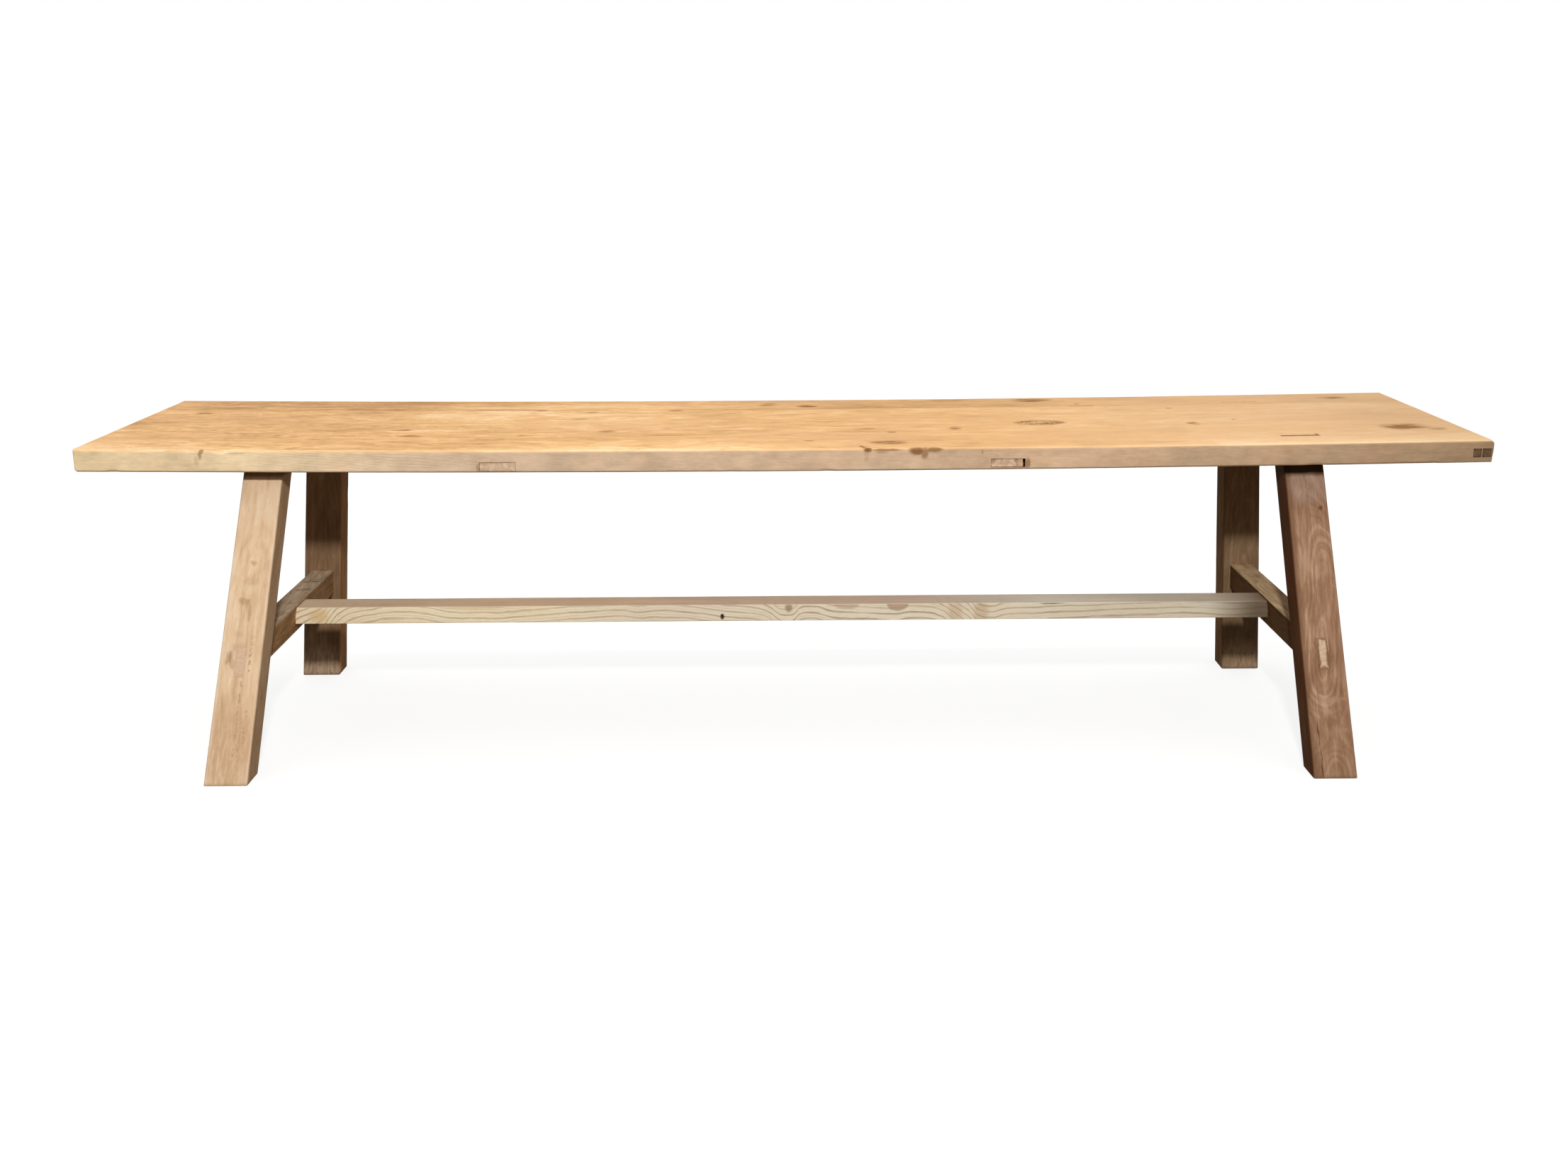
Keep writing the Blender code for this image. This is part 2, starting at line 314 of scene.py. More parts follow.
def crack(line, normal, depth):
    """Give the cutter of a wedge along a line of (place, width), narrow below the surface."""
    up = Vector(normal)
    widest = max(width for place, width in line)
    rings = []
    for index, (place, width) in enumerate(line):
        before, after = line[max(0, index - 1)][0], line[min(len(line) - 1, index + 1)][0]
        across = up.cross((Vector(after) - Vector(before)).normalized()) * width / 2
        mouth = Vector(place) + up * CRACK_RISE
        foot = Vector(place) - up * depth * (LEAST_DEPTH + (1 - LEAST_DEPTH) * width / widest)
        rings.append([mouth - across, mouth + across, foot + across * CRACK_FOOT, foot - across * CRACK_FOOT])
    return rings


def finish_piece(piece, node, material):
    """Shade a piece, give it its wood, and let it stand for its CAD node."""
    piece.data.materials.clear()
    piece.data.materials.append(material)
    piece.data.shade_smooth()
    piece.data.set_sharp_from_angle(angle=SHARP_ANGLE)
    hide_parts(node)
    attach(piece, "root")


# Seat

CRACK_RISE = 0.002
LEAST_DEPTH = 0.35  # share of a crack's depth that is left where it is narrowest
CRACK_FOOT = 0.15  # width of its foot, as a share of its mouth
CORNER_DEPTH = 0.002
CORNER_RUN = 0.006
SEAT_PITCH = 0.005
BOARD_PITCH = 0.0055
END_ZONE = 0.01
END_PITCH = 0.0012
END_EASE = 0.001
LEAST_RADIUS = 0.0002
TOP_FRONT_ARRIS = 0.003
LOW_FRONT_ARRIS = 0.0011
LEFT_CHAMFER = 0.004
RIGHT_BEVEL = (0.0055, 0.006)
RIGHT_LEAN = 0.0026
CHIP_ARRIS = 0.0018
CHIP_X = 0.856
CHIP_RUN = 0.004
OUTER_ARRIS = 0.0014
JOINT_ARRIS = 0.0005
GAP = 0.0003
TIGHT = 0.00006
DRY_GAP = 0.0011  # in front of the tenon at the front right, where the glue has let go
OPEN_JOINTS = ((-0.655, -0.555, 0.0012), (-0.49, -0.355, 0.0009), (0.43, 0.46, 0.0006))


def corner_offset(x):
    """Give how far the worn front corners bring the front edge back at x."""
    along = (abs(x) - (HALF_LENGTH - CORNER_DEPTH)) / CORNER_DEPTH
    return CORNER_RUN * (1 - math.sqrt(max(0, 1 - max(0, along) ** 2)))


def low_arris(x):
    """Give the front edge's lower arris, which a chip near the right end makes suddenly small."""
    return LOW_FRONT_ARRIS + CHIP_ARRIS * min(1, max(0, (CHIP_X - x) / CHIP_RUN))


def joint_arris(x, seed):
    """Give the arris along the joint of the boards, opened where the glue line has worn."""
    size = worn_radius(JOINT_ARRIS, x, 1, seed)
    for low, high, extra in OPEN_JOINTS:
        middle, half = halves(low, high)
        size += extra * max(0, 1 - ((x - middle) / half) ** 2)
    return size


def trim_ends(piece):
    """Press the ends back onto their worn planes: a chamfer at the left, a bevel and a lean at the right."""
    bevel_x, bevel_z = RIGHT_BEVEL
    left = (-HALF_LENGTH, 0, SEAT_TOP - THICKNESS + LEFT_CHAMFER)
    right = (HALF_LENGTH, 0, SEAT_TOP - bevel_z)
    leaning = (THICKNESS - bevel_z, 0, -RIGHT_LEAN)
    for place, direction in ((left, (-1, 0, -1)), (right, (bevel_z, 0, bevel_x)), (right, leaning)):
        point, normal = Vector(place), Vector(direction).normalized()
        for vertex in piece.data.vertices:
            vertex.co -= normal * max(0, (vertex.co - point).dot(normal))


def board_radii(x, seed, worn):
    """List the four arrises of a board at x, from the lower front one round."""
    joint = joint_arris(x, seed)
    if worn:
        top = worn_radius(TOP_FRONT_ARRIS, x, 3, seed)
        return worn_radius(low_arris(x), x, 0, seed), JOINT_ARRIS, joint, top
    return JOINT_ARRIS, worn_radius(OUTER_ARRIS, x, 1, seed), worn_radius(OUTER_ARRIS, x, 2, seed), joint


def board(name, front, back, seed, sinks, worn):
    """Make one seat board as rings across it, set along its bow."""
    splits = (max(8, round((back - front) / BOARD_PITCH)), 14)
    inner = HALF_LENGTH - END_ZONE
    stations = eased_stations(-HALF_LENGTH, -inner, END_PITCH, END_EASE)[:-EASE_STEPS]
    stations += eased_stations(-inner, inner, SEAT_PITCH, 0)[EASE_STEPS:-EASE_STEPS]
    stations += eased_stations(inner, HALF_LENGTH, END_PITCH, END_EASE)[EASE_STEPS:]
    rings = []
    for x, inset in stations:
        lead = corner_offset(x) if worn else 0
        half_u, half_v = (back - front - lead) / 2 - inset, THICKNESS / 2 - inset
        middle_u, middle_v = (front + lead + back) / 2, SEAT_TOP - bow(x) - THICKNESS / 2
        most = max(LEAST_RADIUS, min(half_u, half_v) - TINY)
        radii = [min(radius, most) for radius in board_radii(x, seed, worn)]
        ring = []
        for u, v, normal_u, normal_v in rounded_ring(half_u, half_v, radii, splits):
            y, z = middle_u + u, middle_v + v
            sink = unevenness(x, y, z, seed)
            for sink_x, sink_y, reach_x, reach_y, deep in sinks:
                away = ((x - sink_x) / reach_x) ** 2 + ((y - sink_y) / reach_y) ** 2
                sink += deep * math.exp(-away) if v > 0 and away < 9 else 0
            ring.append((x, y - normal_u * sink, z - normal_v * sink))
        rings.append(ring)
    return loft(name, rings, splits)


def leg_mortise(leg):
    """Give the cutter for a leg's tenon, along the leg's slope."""
    rings = []
    for z in (SEAT_TOP - 2 * THICKNESS, SEAT_TOP + THICKNESS / 2):
        x, y, half_x, half_y = leg.x(z), leg.y(z), leg.half_x(z) + TIGHT, leg.tenon_half_y + TIGHT
        front = half_y + (DRY_GAP if leg is LEGS["front", "right"] else 0)
        rings.append(rectangle(x - half_x, x + half_x, y - front, y + half_y, z))
    return rings


PLUG_ARRIS = 0.0008
PLUG_PITCH = 0.002
PLUG_CELL = 0.0012
PLUG_DIP = 0.0007
PLUG_SEED = 60
POCKET_MOUTH = 0.01
POCKET_RISE = 0.0005
PLUGS = {
    # how far it lies back, its gaps left and right, and its middle and dark colours
    "left": (0.0006, 0.0003, 0.0004, (0.62, 0.45, 0.31), (0.44, 0.3, 0.19)),
    "middle": (0.0016, 0.0006, 0.003, (0.6, 0.42, 0.29), (0.24, 0.13, 0.075)),
    "right_inner": (0.0012, 0.0004, 0.0004, (0.165, 0.102, 0.06), (0.055, 0.034, 0.02)),
    "right_outer": (0.0012, 0.0005, 0.0006, (0.13, 0.082, 0.052), (0.045, 0.028, 0.018)),
}


def plug_pocket(label):
    """Give the cutter for the old mortise round a plug, a little loose at its ends."""
    low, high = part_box(f"edge_plug_{label}")
    left_gap, right_gap = PLUGS[label][1:3]
    x0, x1 = low.x - left_gap, high.x + min(right_gap, GAP)
    heights = (low.z - GAP, high.z + POCKET_RISE)
    return [rectangle(x0, x1, low.y - POCKET_MOUTH, high.y + GAP, z) for z in heights]


def make_plug(number, label):
    """Make a plug with eased, broken edges, a little below the seat's face."""
    node = f"edge_plug_{label}"
    low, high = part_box(node)
    back, left_gap, right_gap, middle, dark = PLUGS[label]
    short = right_gap - min(right_gap, GAP)
    (middle_x, half_x), (middle_z, half_z) = halves(low.x, high.x - short), halves(low.z, high.z)
    splits = (max(6, round(half_x / PLUG_CELL)), 8)
    seed = PLUG_SEED + number
    rings = []
    for y, inset in eased_stations(low.y + back, high.y, PLUG_PITCH, PLUG_ARRIS):
        worn = [worn_radius(PLUG_ARRIS, middle_x + arris, arris, seed) for arris in range(4)]
        radii = [min(half_z / 2, radius) for radius in worn]
        ring = []
        for u, v, *_ in rounded_ring(half_x - inset, half_z - inset, radii, splits):
            dip = PLUG_DIP * wave((middle_x + u) * 160, (middle_z + v) * 220, seed)
            ring.append((middle_x + u, y + dip, middle_z + v))
        rings.append(ring)
    wood = plug_wood("plug_" + label, 30 + number, middle, dark)
    finish_piece(loft("plug_" + label, rings, splits), node, wood)


# Legs

LEG_PITCH = 0.004
LEG_ARRIS = 0.0026
LEG_EASE = 0.0012
LEG_SPLITS = (14, 12)
CROWN_EASE = 0.0006
TENON_BASE = 0.01
PASS_INNER = 0.008  # how far the cutter of a rail's mortise passes the leg's inner face
PASS_OUTER = 0.004  # and its outer face
TENON_RADII = (0.0008,) * 4


def leg_rings(leg, seed):
    """List a leg's rings from its foot to the tenon's end, flush with the seat's top."""
    rings = []

    def ring(z, half_y, inset, radii):
        made = []
        section = rounded_ring(leg.half_x(z) - inset, half_y - inset, radii, LEG_SPLITS)
        for u, v, normal_u, normal_v in section:
            sink = unevenness(z, u, v, seed)
            made.append((leg.x(z) + u - normal_u * sink, leg.y(z) + v - normal_v * sink, z))
        rings.append(made)

    for z, inset in eased_stations(0, leg.shoulder, LEG_PITCH, LEG_EASE):
        ring(z, leg.half_y, inset if z < leg.shoulder / 2 else 0, worn_radii(LEG_ARRIS, z, seed))
    for z, inset in eased_stations(leg.shoulder, leg.crown, LEG_PITCH, CROWN_EASE):
        ring(z, leg.tenon_half_y, inset if z > leg.shoulder + TENON_BASE else 0, TENON_RADII)
    return rings


def tilt_crown(piece, leg):
    """Make the tenon's end follow the seat's bow, as it is planed flush."""
    for vertex in piece.data.vertices:
        if vertex.co.z > leg.shoulder:
            share = (vertex.co.z - leg.shoulder) / (leg.crown - leg.shoulder)
            vertex.co.z += share * (bow(leg.x(leg.crown)) - bow(vertex.co.x))


def rail_mortise(leg, rail):
    """Give the cutter for a rail's tenon through a leg, a little wider at its mouth."""
    rings = []
    for z, spread in rail["mouth"]:
        x, half = leg.x(z), rail["tenon_half"] + TIGHT + spread
        reaches = (-leg.half_y - PASS_INNER, leg.half_y + PASS_OUTER)
        ends = sorted(leg.y(z) + leg.row * reach for reach in reaches)
        rings.append(rectangle(x - half, x + half, *ends, z))
    return rings


# Rails and stretcher

RAIL_ARRIS = 0.0018
RAIL_SPLITS = (10, 12)
RAIL_EASE = 0.0002
MOUTHS = {
    # distance below the rail's underside, and how far the mortise opens there at each side
    "left": ((TIGHT, 0), (-0.006, 0.00005)),
    "right": ((TIGHT, 0), (-0.01, 0.0003), (-0.024, 0.0004), (-0.036, 0.0001)),
}
STRETCHER_ARRIS = 0.0012
STRETCHER_PITCH = 0.0045
STRETCHER_SPLITS = (12, 8)
STRETCHER_EASE = 0.0007
STRETCHER_SEED = 51
NAIL_X = -0.0904
NAIL_DROP = 0.0055
NAIL_RADIUS = 0.0021
NAIL_STEPS = 14
NAIL_WIDE = 0.8
NAIL_TALL = 1.6
NAIL_RINGS = ((-0.002, 1.15), (0.0008, 1), (0.01, 0.7))  # depth and size
TIP_X = 0.7  # only the ends of the stretcher's tenons lie beyond this
WEAR_RUN = 1.4  # length over which the wear of its arrises runs
PASS_RAIL = 0.004


def read_rail(side):
    """Read a rail's heights, half thicknesses and ends from its CAD node."""
    found = corners(f"rail_{side}")
    low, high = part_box(f"rail_{side}")
    leg = LEGS["front", side]
    reach = np.abs(found[:, 0] - np.array([leg.x(z) for z in found[:, 2]]))

    def tips(half):
        """List how far out the corners with this half thickness lie, at the bottom and the top."""
        near = found[np.abs(reach - half) < TINY]
        return [float(np.abs(near[np.abs(near[:, 2] - z) < TINY][:, 1]).max()) for z in (low.z, high.z)]

    return {
        "low": low.z, "high": high.z, "half": float(reach.max()), "tenon_half": float(reach.min()),
        "shoulders": tips(reach.max()), "tips": tips(reach.min()), "leg": leg,
        "mouth": [(low.z - drop, spread) for drop, spread in MOUTHS[side]] + [(high.z + TIGHT, 0)],
    }


RAILS = {side: read_rail(side) for side in SIDES}


def make_rail(side, seed):
    """Make a rail whose section leans with the legs, with a tenon at each end."""
    rail = RAILS[side]
    middle, half_z = halves(rail["low"], rail["high"])
    length, tip = sum(rail["shoulders"]) / 2, sum(rail["tips"]) / 2
    rings = []

    def ring(share, half, radii, inset, limits):
        made = []
        for u, v, normal_u, normal_v in rounded_ring(half - inset, half_z - inset, radii, RAIL_SPLITS):
            z = middle + v
            rise = (z - rail["low"]) / (rail["high"] - rail["low"])
            y = share * (limits[0] + (limits[1] - limits[0]) * rise)
            sink = unevenness(y, u, v, seed) if limits is rail["shoulders"] else 0
            made.append((rail["leg"].x(z) + u - normal_u * sink, y, z - normal_v * sink))
        rings.append(made)

    tenon = [((length + (tip - length) * step / 5) / tip, 0) for step in range(5)]
    tenon += [(1 - RAIL_EASE / tip, 0), (1, RAIL_EASE)]
    for share, inset in reversed(tenon):
        ring(-share, rail["tenon_half"], TENON_RADII, inset, rail["tips"])
    count = round(2 * length / LEG_PITCH)
    for step in range(count + 1):
        share = -1 + 2 * step / count
        ring(share, rail["half"], worn_radii(RAIL_ARRIS, share * length, seed), 0, rail["shoulders"])
    for share, inset in tenon:
        ring(share, rail["tenon_half"], TENON_RADII, inset, rail["tips"])
    return loft(f"rail_{side}_wood", rings, RAIL_SPLITS)


def read_stretcher():
    """Read the stretcher's section and tenons from its CAD node."""
    found = corners("stretcher")
    low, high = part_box("stretcher")
    tips = found[np.abs(found[:, 0]) > TIP_X]
    heights = sorted({round(float(z), 5) for z in tips[:, 2]})
    inner = [z for z in heights if low.z + TINY < z < high.z - TINY]
    return low, high, (min(inner), max(inner))


BAR_LOW, BAR_HIGH, BAR_TENON = read_stretcher()
BAR_Y, BAR_HALF_Y = halves(BAR_LOW.y, BAR_HIGH.y)
BAR_Z, BAR_HALF_Z = halves(BAR_LOW.z, BAR_HIGH.z)


def make_stretcher(seed):
    """Make the stretcher, with its shoulders cut to the rails' lean and its tenons through the rails."""
    tenon_half = (BAR_TENON[1] - BAR_TENON[0]) / 2
    half_rail = RAILS["left"]["half"]
    shoulder = -half_rail - GAP
    rings = []

    def ring(share, half, radii, inset, beyond):
        made = []
        section = rounded_ring(BAR_HALF_Y - inset, half - inset, radii, STRETCHER_SPLITS)
        for u, v, normal_u, normal_v in section:
            z = BAR_Z + v
            left, right = RAILS["left"]["leg"].x(z) - beyond, RAILS["right"]["leg"].x(z) + beyond
            x, y = left + (right - left) * share, BAR_Y + u
            sink = unevenness(x, y, z, seed) * 0.8 if half == BAR_HALF_Z else 0
            made.append((x, y - normal_u * sink, z - normal_v * sink))
        rings.append(made)

    tenon = [(half_rail, STRETCHER_EASE), (half_rail - STRETCHER_EASE, 0)]
    tenon += [(half_rail - (half_rail - shoulder) * step / 6, 0) for step in range(1, 7)]
    for beyond, inset in tenon:
        ring(0, tenon_half, TENON_RADII, inset, beyond)
    count = round((BAR_HIGH.x - BAR_LOW.x) / STRETCHER_PITCH)
    for step in range(count + 1):
        share = step / count
        ring(share, BAR_HALF_Z, worn_radii(STRETCHER_ARRIS, share * WEAR_RUN, seed), 0, shoulder)
    for beyond, inset in reversed(tenon):
        ring(1, tenon_half, TENON_RADII, inset, beyond)
    return loft("stretcher_wood", rings, STRETCHER_SPLITS)


def stretcher_mortise(side):
    """Give the cutter for the stretcher's tenon through a rail."""
    reach = RAILS[side]["half"] + PASS_RAIL
    rings = []
    for z in (BAR_TENON[0] - GAP, BAR_TENON[1] + GAP):
        x = RAILS[side]["leg"].x(z)
        rings.append(rectangle(x - reach, x + reach, BAR_LOW.y - GAP, BAR_HIGH.y + GAP, z))
    return rings


def nail_hole():
    """Give the cutter for the old nail hole, drawn out upwards by the nail's bend."""
    rings = []
    for deep, size in NAIL_RINGS:
        ring = []
        for step in range(NAIL_STEPS):
            turn = 2 * math.pi * step / NAIL_STEPS
            radius = NAIL_RADIUS * size * (1 + 0.12 * math.sin(3 * turn + 1))
            x, z = radius * NAIL_WIDE * math.cos(turn), radius * NAIL_TALL * math.sin(turn)
            ring.append((NAIL_X + x, BAR_LOW.y + deep, BAR_Z - NAIL_DROP + z))
        rings.append(ring)
    return rings


# Wood


class Value:
    """An output in a node tree, which takes part in sums as a plain number does."""

    def __init__(self, graph, socket):
        self.graph = graph
        self.socket = socket

    def calc(self, operation, *others):
        return self.graph.calc(operation, self, *others)

    def after(self, operation, other):
        return self.graph.calc(operation, other, self)

    __add__ = partialmethod(calc, "ADD")
    __radd__ = partialmethod(after, "ADD")
    __sub__ = partialmethod(calc, "SUBTRACT")
    __rsub__ = partialmethod(after, "SUBTRACT")
    __mul__ = partialmethod(calc, "MULTIPLY")
    __truediv__ = partialmethod(calc, "DIVIDE")
    __abs__ = partialmethod(calc, "ABSOLUTE")
    scaled = partialmethod(calc, "MULTIPLY_ADD")
    above = partialmethod(calc, "MAXIMUM")
    below = partialmethod(calc, "MINIMUM")

    def centred(self, amount):
        """Turn noise about 0.5 into a shift about 0."""
        return (self - 0.5) * amount

    def span(self, low, high, start=0, end=1, smooth=True):
        """Give start at low and end at high, and a smooth way between them."""
        kind = "SMOOTHSTEP" if smooth else "LINEAR"
        return self.graph.node("MapRange", (self, low, high, start, end), interpolation_type=kind)

    def other(self, name):
        """Give another output of the same node."""
        return Value(self.graph, self.socket.node.outputs[name])


class Graph:
    """Short calls that build a node tree."""

    def __init__(self, tree):
        self.tree = tree
        tree.nodes.clear()

    def node(self, kind, inputs=(), output=0, **settings):
        """Add a node, join its inputs, given in order or by name, and give one output."""
        made = self.tree.nodes.new(kind if kind.startswith("NodeGroup") else "ShaderNode" + kind)
        for key, value in settings.items():
            setattr(made, key, value)
        for key, value in inputs.items() if isinstance(inputs, dict) else enumerate(inputs):
            self.join(value, made.inputs[key])
        return Value(self, made.outputs[output]) if len(made.outputs) else None

    def join(self, value, socket):
        """Link an output to a socket, or set the socket to a plain value."""
        if isinstance(value, Value):
            self.tree.links.new(value.socket, socket)
        elif hasattr(value, "__len__") and len(value) == 3 and len(socket.default_value) == 4:
            socket.default_value = (*value, 1)
        else:
            socket.default_value = value

    def calc(self, operation, *values):
        return self.node("Math", values, operation=operation)

    def vector_calc(self, operation, *values, output=0):
        return self.node("VectorMath", values, output, operation=operation)

    def split(self, vector):
        first = self.node("SeparateXYZ", (vector,))
        return [first.other(number) for number in range(3)]

    def mix(self, factor, first, second, blend="MIX"):
        inputs = {0: factor, 6: first, 7: second}
        return self.node("Mix", inputs, 2, data_type="RGBA", blend_type=blend)

    def ramp(self, value, stops):
        made = self.node("ValToRGB", (value,))
        elements = made.socket.node.color_ramp.elements
        while len(elements) < len(stops):
            elements.new(0.5)
        for element, (place, colour) in zip(elements, stops):
            element.position = place
        for element, (place, colour) in zip(elements, stops):
            element.color = (*colour, 1)
        return made

    def curve(self, value, points, bottom, top, last=None):
        """Give a curve drawn through points of millimetres, whose heights lie from bottom to top."""
        points = in_metres(points, 2)
        low, high = points[0][0], last or points[-1][0]
        drawn = self.node("FloatCurve", {"Value": value.span(low, high, smooth=False)})
        mapping = drawn.socket.node.mapping
        line = mapping.curves[0].points
        while len(line) < len(points):
            line.new(0.5, 0.5)
        for point, (at, height) in zip(line, points):
            point.location = (at - low) / (high - low), (height - bottom) / (top - bottom)
        mapping.update()
        return drawn.span(0, 1, bottom, top, smooth=False)


def mark_group():
    """Make the node group that measures how near a place is to the middle of a knot or stain."""
    tree = bpy.data.node_groups.new("mark", "ShaderNodeTree")
    for name, kind in (("Place", "Vector"), ("Middle", "Vector"), ("Size", "Vector"), ("Edge", "Float")):
        tree.interface.new_socket(name=name, in_out="INPUT", socket_type="NodeSocket" + kind)
    for name in ("Mask", "Swell", "Away"):
        tree.interface.new_socket(name=name, in_out="OUTPUT", socket_type="NodeSocketFloat")
    g = Graph(tree)
    place = g.node("NodeGroupInput", output="Place")
    edge = place.other("Edge")
    offset = g.vector_calc("SUBTRACT", place, place.other("Middle"))
    scaled = g.vector_calc("DIVIDE", offset, place.other("Size"))
    away = g.vector_calc("LENGTH", scaled, output="Value")
    mask = away.span(1 + edge, 1 - edge)
    g.node("NodeGroupOutput", {"Mask": mask, "Swell": away.span(3.2, 0), "Away": away})
    return tree


MARK = mark_group()


TURN = 2 * math.pi
GLOSS = 0.005
BUMP = 0.35
BUMP_DEPTH = 0.0006


class Wood(Graph):
    """The wood of one piece: its grain's own axes, the growth rings, and the colour laid over them."""

    def __init__(self, name, along, seed, leg=None):
        self.material = bpy.data.materials.new(name)
        self.material.use_nodes = True
        super().__init__(self.material.node_tree)
        self.seed = seed
        self.x, self.y, self.z = x, y, z = self.split(self.node("TexCoord", output="Object"))
        if leg:
            x = x - z.scaled(leg.slope_x, leg.foot_x)
        if along == "z":
            y = y - z.scaled(leg.slope_y, leg.foot_y)
        self.s, self.u, self.v = {"x": (x, y, z), "y": (y, x, z), "z": (z, x, y)}[along]
        self.board_place = self.node("CombineXYZ", (self.s, self.u, self.v))
        self.swell = None
        self.colour = None

    def grain(self, along, across, shift=0, detail=2, roughness=0.5, distortion=0, output="Fac"):
        """Give noise that is scaled along and across the grain, each shift a fresh stretch of it."""
        place = self.node("CombineXYZ", (
            self.s.scaled(along, self.seed + shift),
            self.u.scaled(across, self.seed * 1.7 + shift),
            self.v.scaled(across, self.seed * 0.6 + shift),
        ))
        texture = {"Scale": 1, "Detail": detail, "Roughness": roughness, "Distortion": distortion}
        return self.node("TexNoise", {"Vector": place, **texture}, output)

    def layers(self):
        """Give the fine layers that all the elm shares: fibres, streaks and pores."""
        fibre = self.grain(16, 900, 5, 3, 0.6)
        streak = self.grain(4, 170, 9, 3, 0.55)
        return fibre, streak, self.grain(120, 1700, 13, 1).span(0.6, 0.72)

    def ragged_place(self, amount, pace):
        """Give the board's place, shaken a little so that marks aren't true ellipses."""
        shake = self.grain(pace * 0.5, pace, detail=3, output="Color")
        shake = self.vector_calc("SUBTRACT", shake, (0.5, 0.5, 0.5))
        return self.vector_calc("MULTIPLY_ADD", shake, (amount * 1.6, amount, amount), self.board_place)

    def bend(self, bulge):
        """Add to how far the rings part round the marks."""
        self.swell = bulge if self.swell is None else self.swell + bulge

    def mark(self, ragged, place, size, edge):
        """Give the mask of one knot or stain."""
        inputs = {"Place": ragged, "Middle": place, "Size": size, "Edge": edge}
        return self.node("Group", inputs, "Mask", node_tree=MARK)

    def marks(self, rows, ragged, edge, push=0):
        """Lay a list of (s, u, v, half s, half u, half v, strength) and give their joint mask."""
        total = 0
        for row in rows:
            mask = self.mark(ragged, row[:3], row[3:6], edge)
            total = self.calc("MAXIMUM", total, mask * row[6])
            if push:
                self.bend(mask.other("Swell") * (push * max(row[4], 0.003)))
        return total

    def chance(self, number, least):
        """Give each whole number a weight of its own."""
        drawn = self.node("TexWhiteNoise", {"W": number.calc("FLOOR")}, "Value", noise_dimensions="1D")
        return drawn.span(0, 1, least, 1, smooth=False)

    def rings(self, heart_u, heart_v, spacing, wander, pace, waver):
        """Give the ring phase: the distance from the heart, shaken, and bent round the knots."""
        drift_u, drift_v, _ = self.split(self.grain(pace, pace * 0.6, 3, output="Color"))
        u = self.u - heart_u + drift_u.centred(wander)
        v = self.v - heart_v + drift_v.centred(wander)
        radius = (u * u + v * v).calc("SQRT")
        if self.swell is not None:
            radius = radius - self.swell
        return radius * (1 / spacing) + self.grain(14, 60, 11).centred(waver)

    def ring_tone(self, phase, sharp):
        """Turn the phase into narrow soft lines, each of its own weight, and a fainter set between."""
        turn = phase * TURN
        line = turn.calc("COSINE").scaled(-0.5, 0.5).calc("POWER", sharp)
        faint = (turn * 2.63).calc("SINE").scaled(0.15, 0.15)
        return line * self.chance(phase, 0.35) + faint

    def tones(self, tone, dark, middle, pale, at=0.55):
        """Start the colour from a tone of 0 to 1, with the middle colour at its own place."""
        self.colour = self.ramp(tone, ((0, dark), (at, middle), (1, pale)))

    def lay(self, mask, colour, blend="MIX"):
        """Lay a colour over what is there."""
        self.colour = self.mix(mask, self.colour, colour, blend)

    def dim(self, mask, factor):
        """Multiply what is there by a tone or a colour."""
        self.lay(mask, factor, "MULTIPLY")

    def tint(self, rows, ragged, edge=0.45):
        """Lay streaky patches: rows as for marks, each with its own colour at the end."""
        torn = self.grain(50, 240, 95, 4, 0.7).span(0.36, 0.6, 0.35, 1)
        for *row, patch in rows:
            self.lay(self.marks([row], ragged, edge) * torn, patch)

    def shade(self, roughness, height, bump=BUMP):
        """Finish the material from its colour, a roughness and a height."""
        normal = self.node("Bump", {"Strength": bump, "Distance": BUMP_DEPTH, "Height": height})
        inputs = {"Base Color": self.colour, "Roughness": roughness, "Normal": normal}
        shader = self.node("BsdfPrincipled", {**inputs, "Specular IOR Level": GLOSS})
        self.node("OutputMaterial", {"Surface": shader})
        return self.material


# Seat wood

FRONT = FRONT_Y / MM
TOP_MARKS = in_metres((  # x, y, half x, half y, strength
    (-289, 97, 17, 6, 0.42), (-159, 112, 11, 7, 0.38), (-292, 40, 13, 6, 0.32),
    (-245, -67, 15, 11, 0.5), (-162, -45, 8, 6, 0.28), (102, FRONT + 19, 2.6, 4, 0.55),
    (105, FRONT + 11.5, 3, 5.2, 0.85), (108, FRONT + 4.5, 4, 5.6, 1), (112, -57, 14, 8, 0.36),
    (148, -82, 7, 8, 0.45), (140, -163, 22, 12, 0.75), (34, -145, 7, 5, 0.38), (238, -59, 8, 10, 0.55),
    (485, 80, 8, 6, 0.3), (570, 90, 5, 5, 0.3), (638.5, -13, 4, 6, 0.42), (573, -43, 7, 9, 0.62),
    (848, -94, 28, 19, 0.95), (884, -114, 12, 10, 0.42), (-530, -53, 12, 5, 0.85),
    (-515, -98, 18, 5, 0.85), (-600, -58, 14, 7, 0.3), (-853, 87, 13, 7, 0.5), (-644, -189, 8, 6, 0.5),
    (-741, -164, 10, 6, 0.32), (-358, -94, 6, 9, 0.34), (-361, 117, 10, 7, 0.45),
), 4)
REAR_MARKS = in_metres((
    (-22.5, 162, 14, 11, 0.62), (36, 146, 13, 10, 0.8), (250, 190, 25, 10, 0.42),
    (380, 182, 24, 14, 0.95), (443, 142, 5, 8, 0.5), (832, 164, 20, 10, 0.6), (-700, 150, 30, 6, 0.35),
), 4)
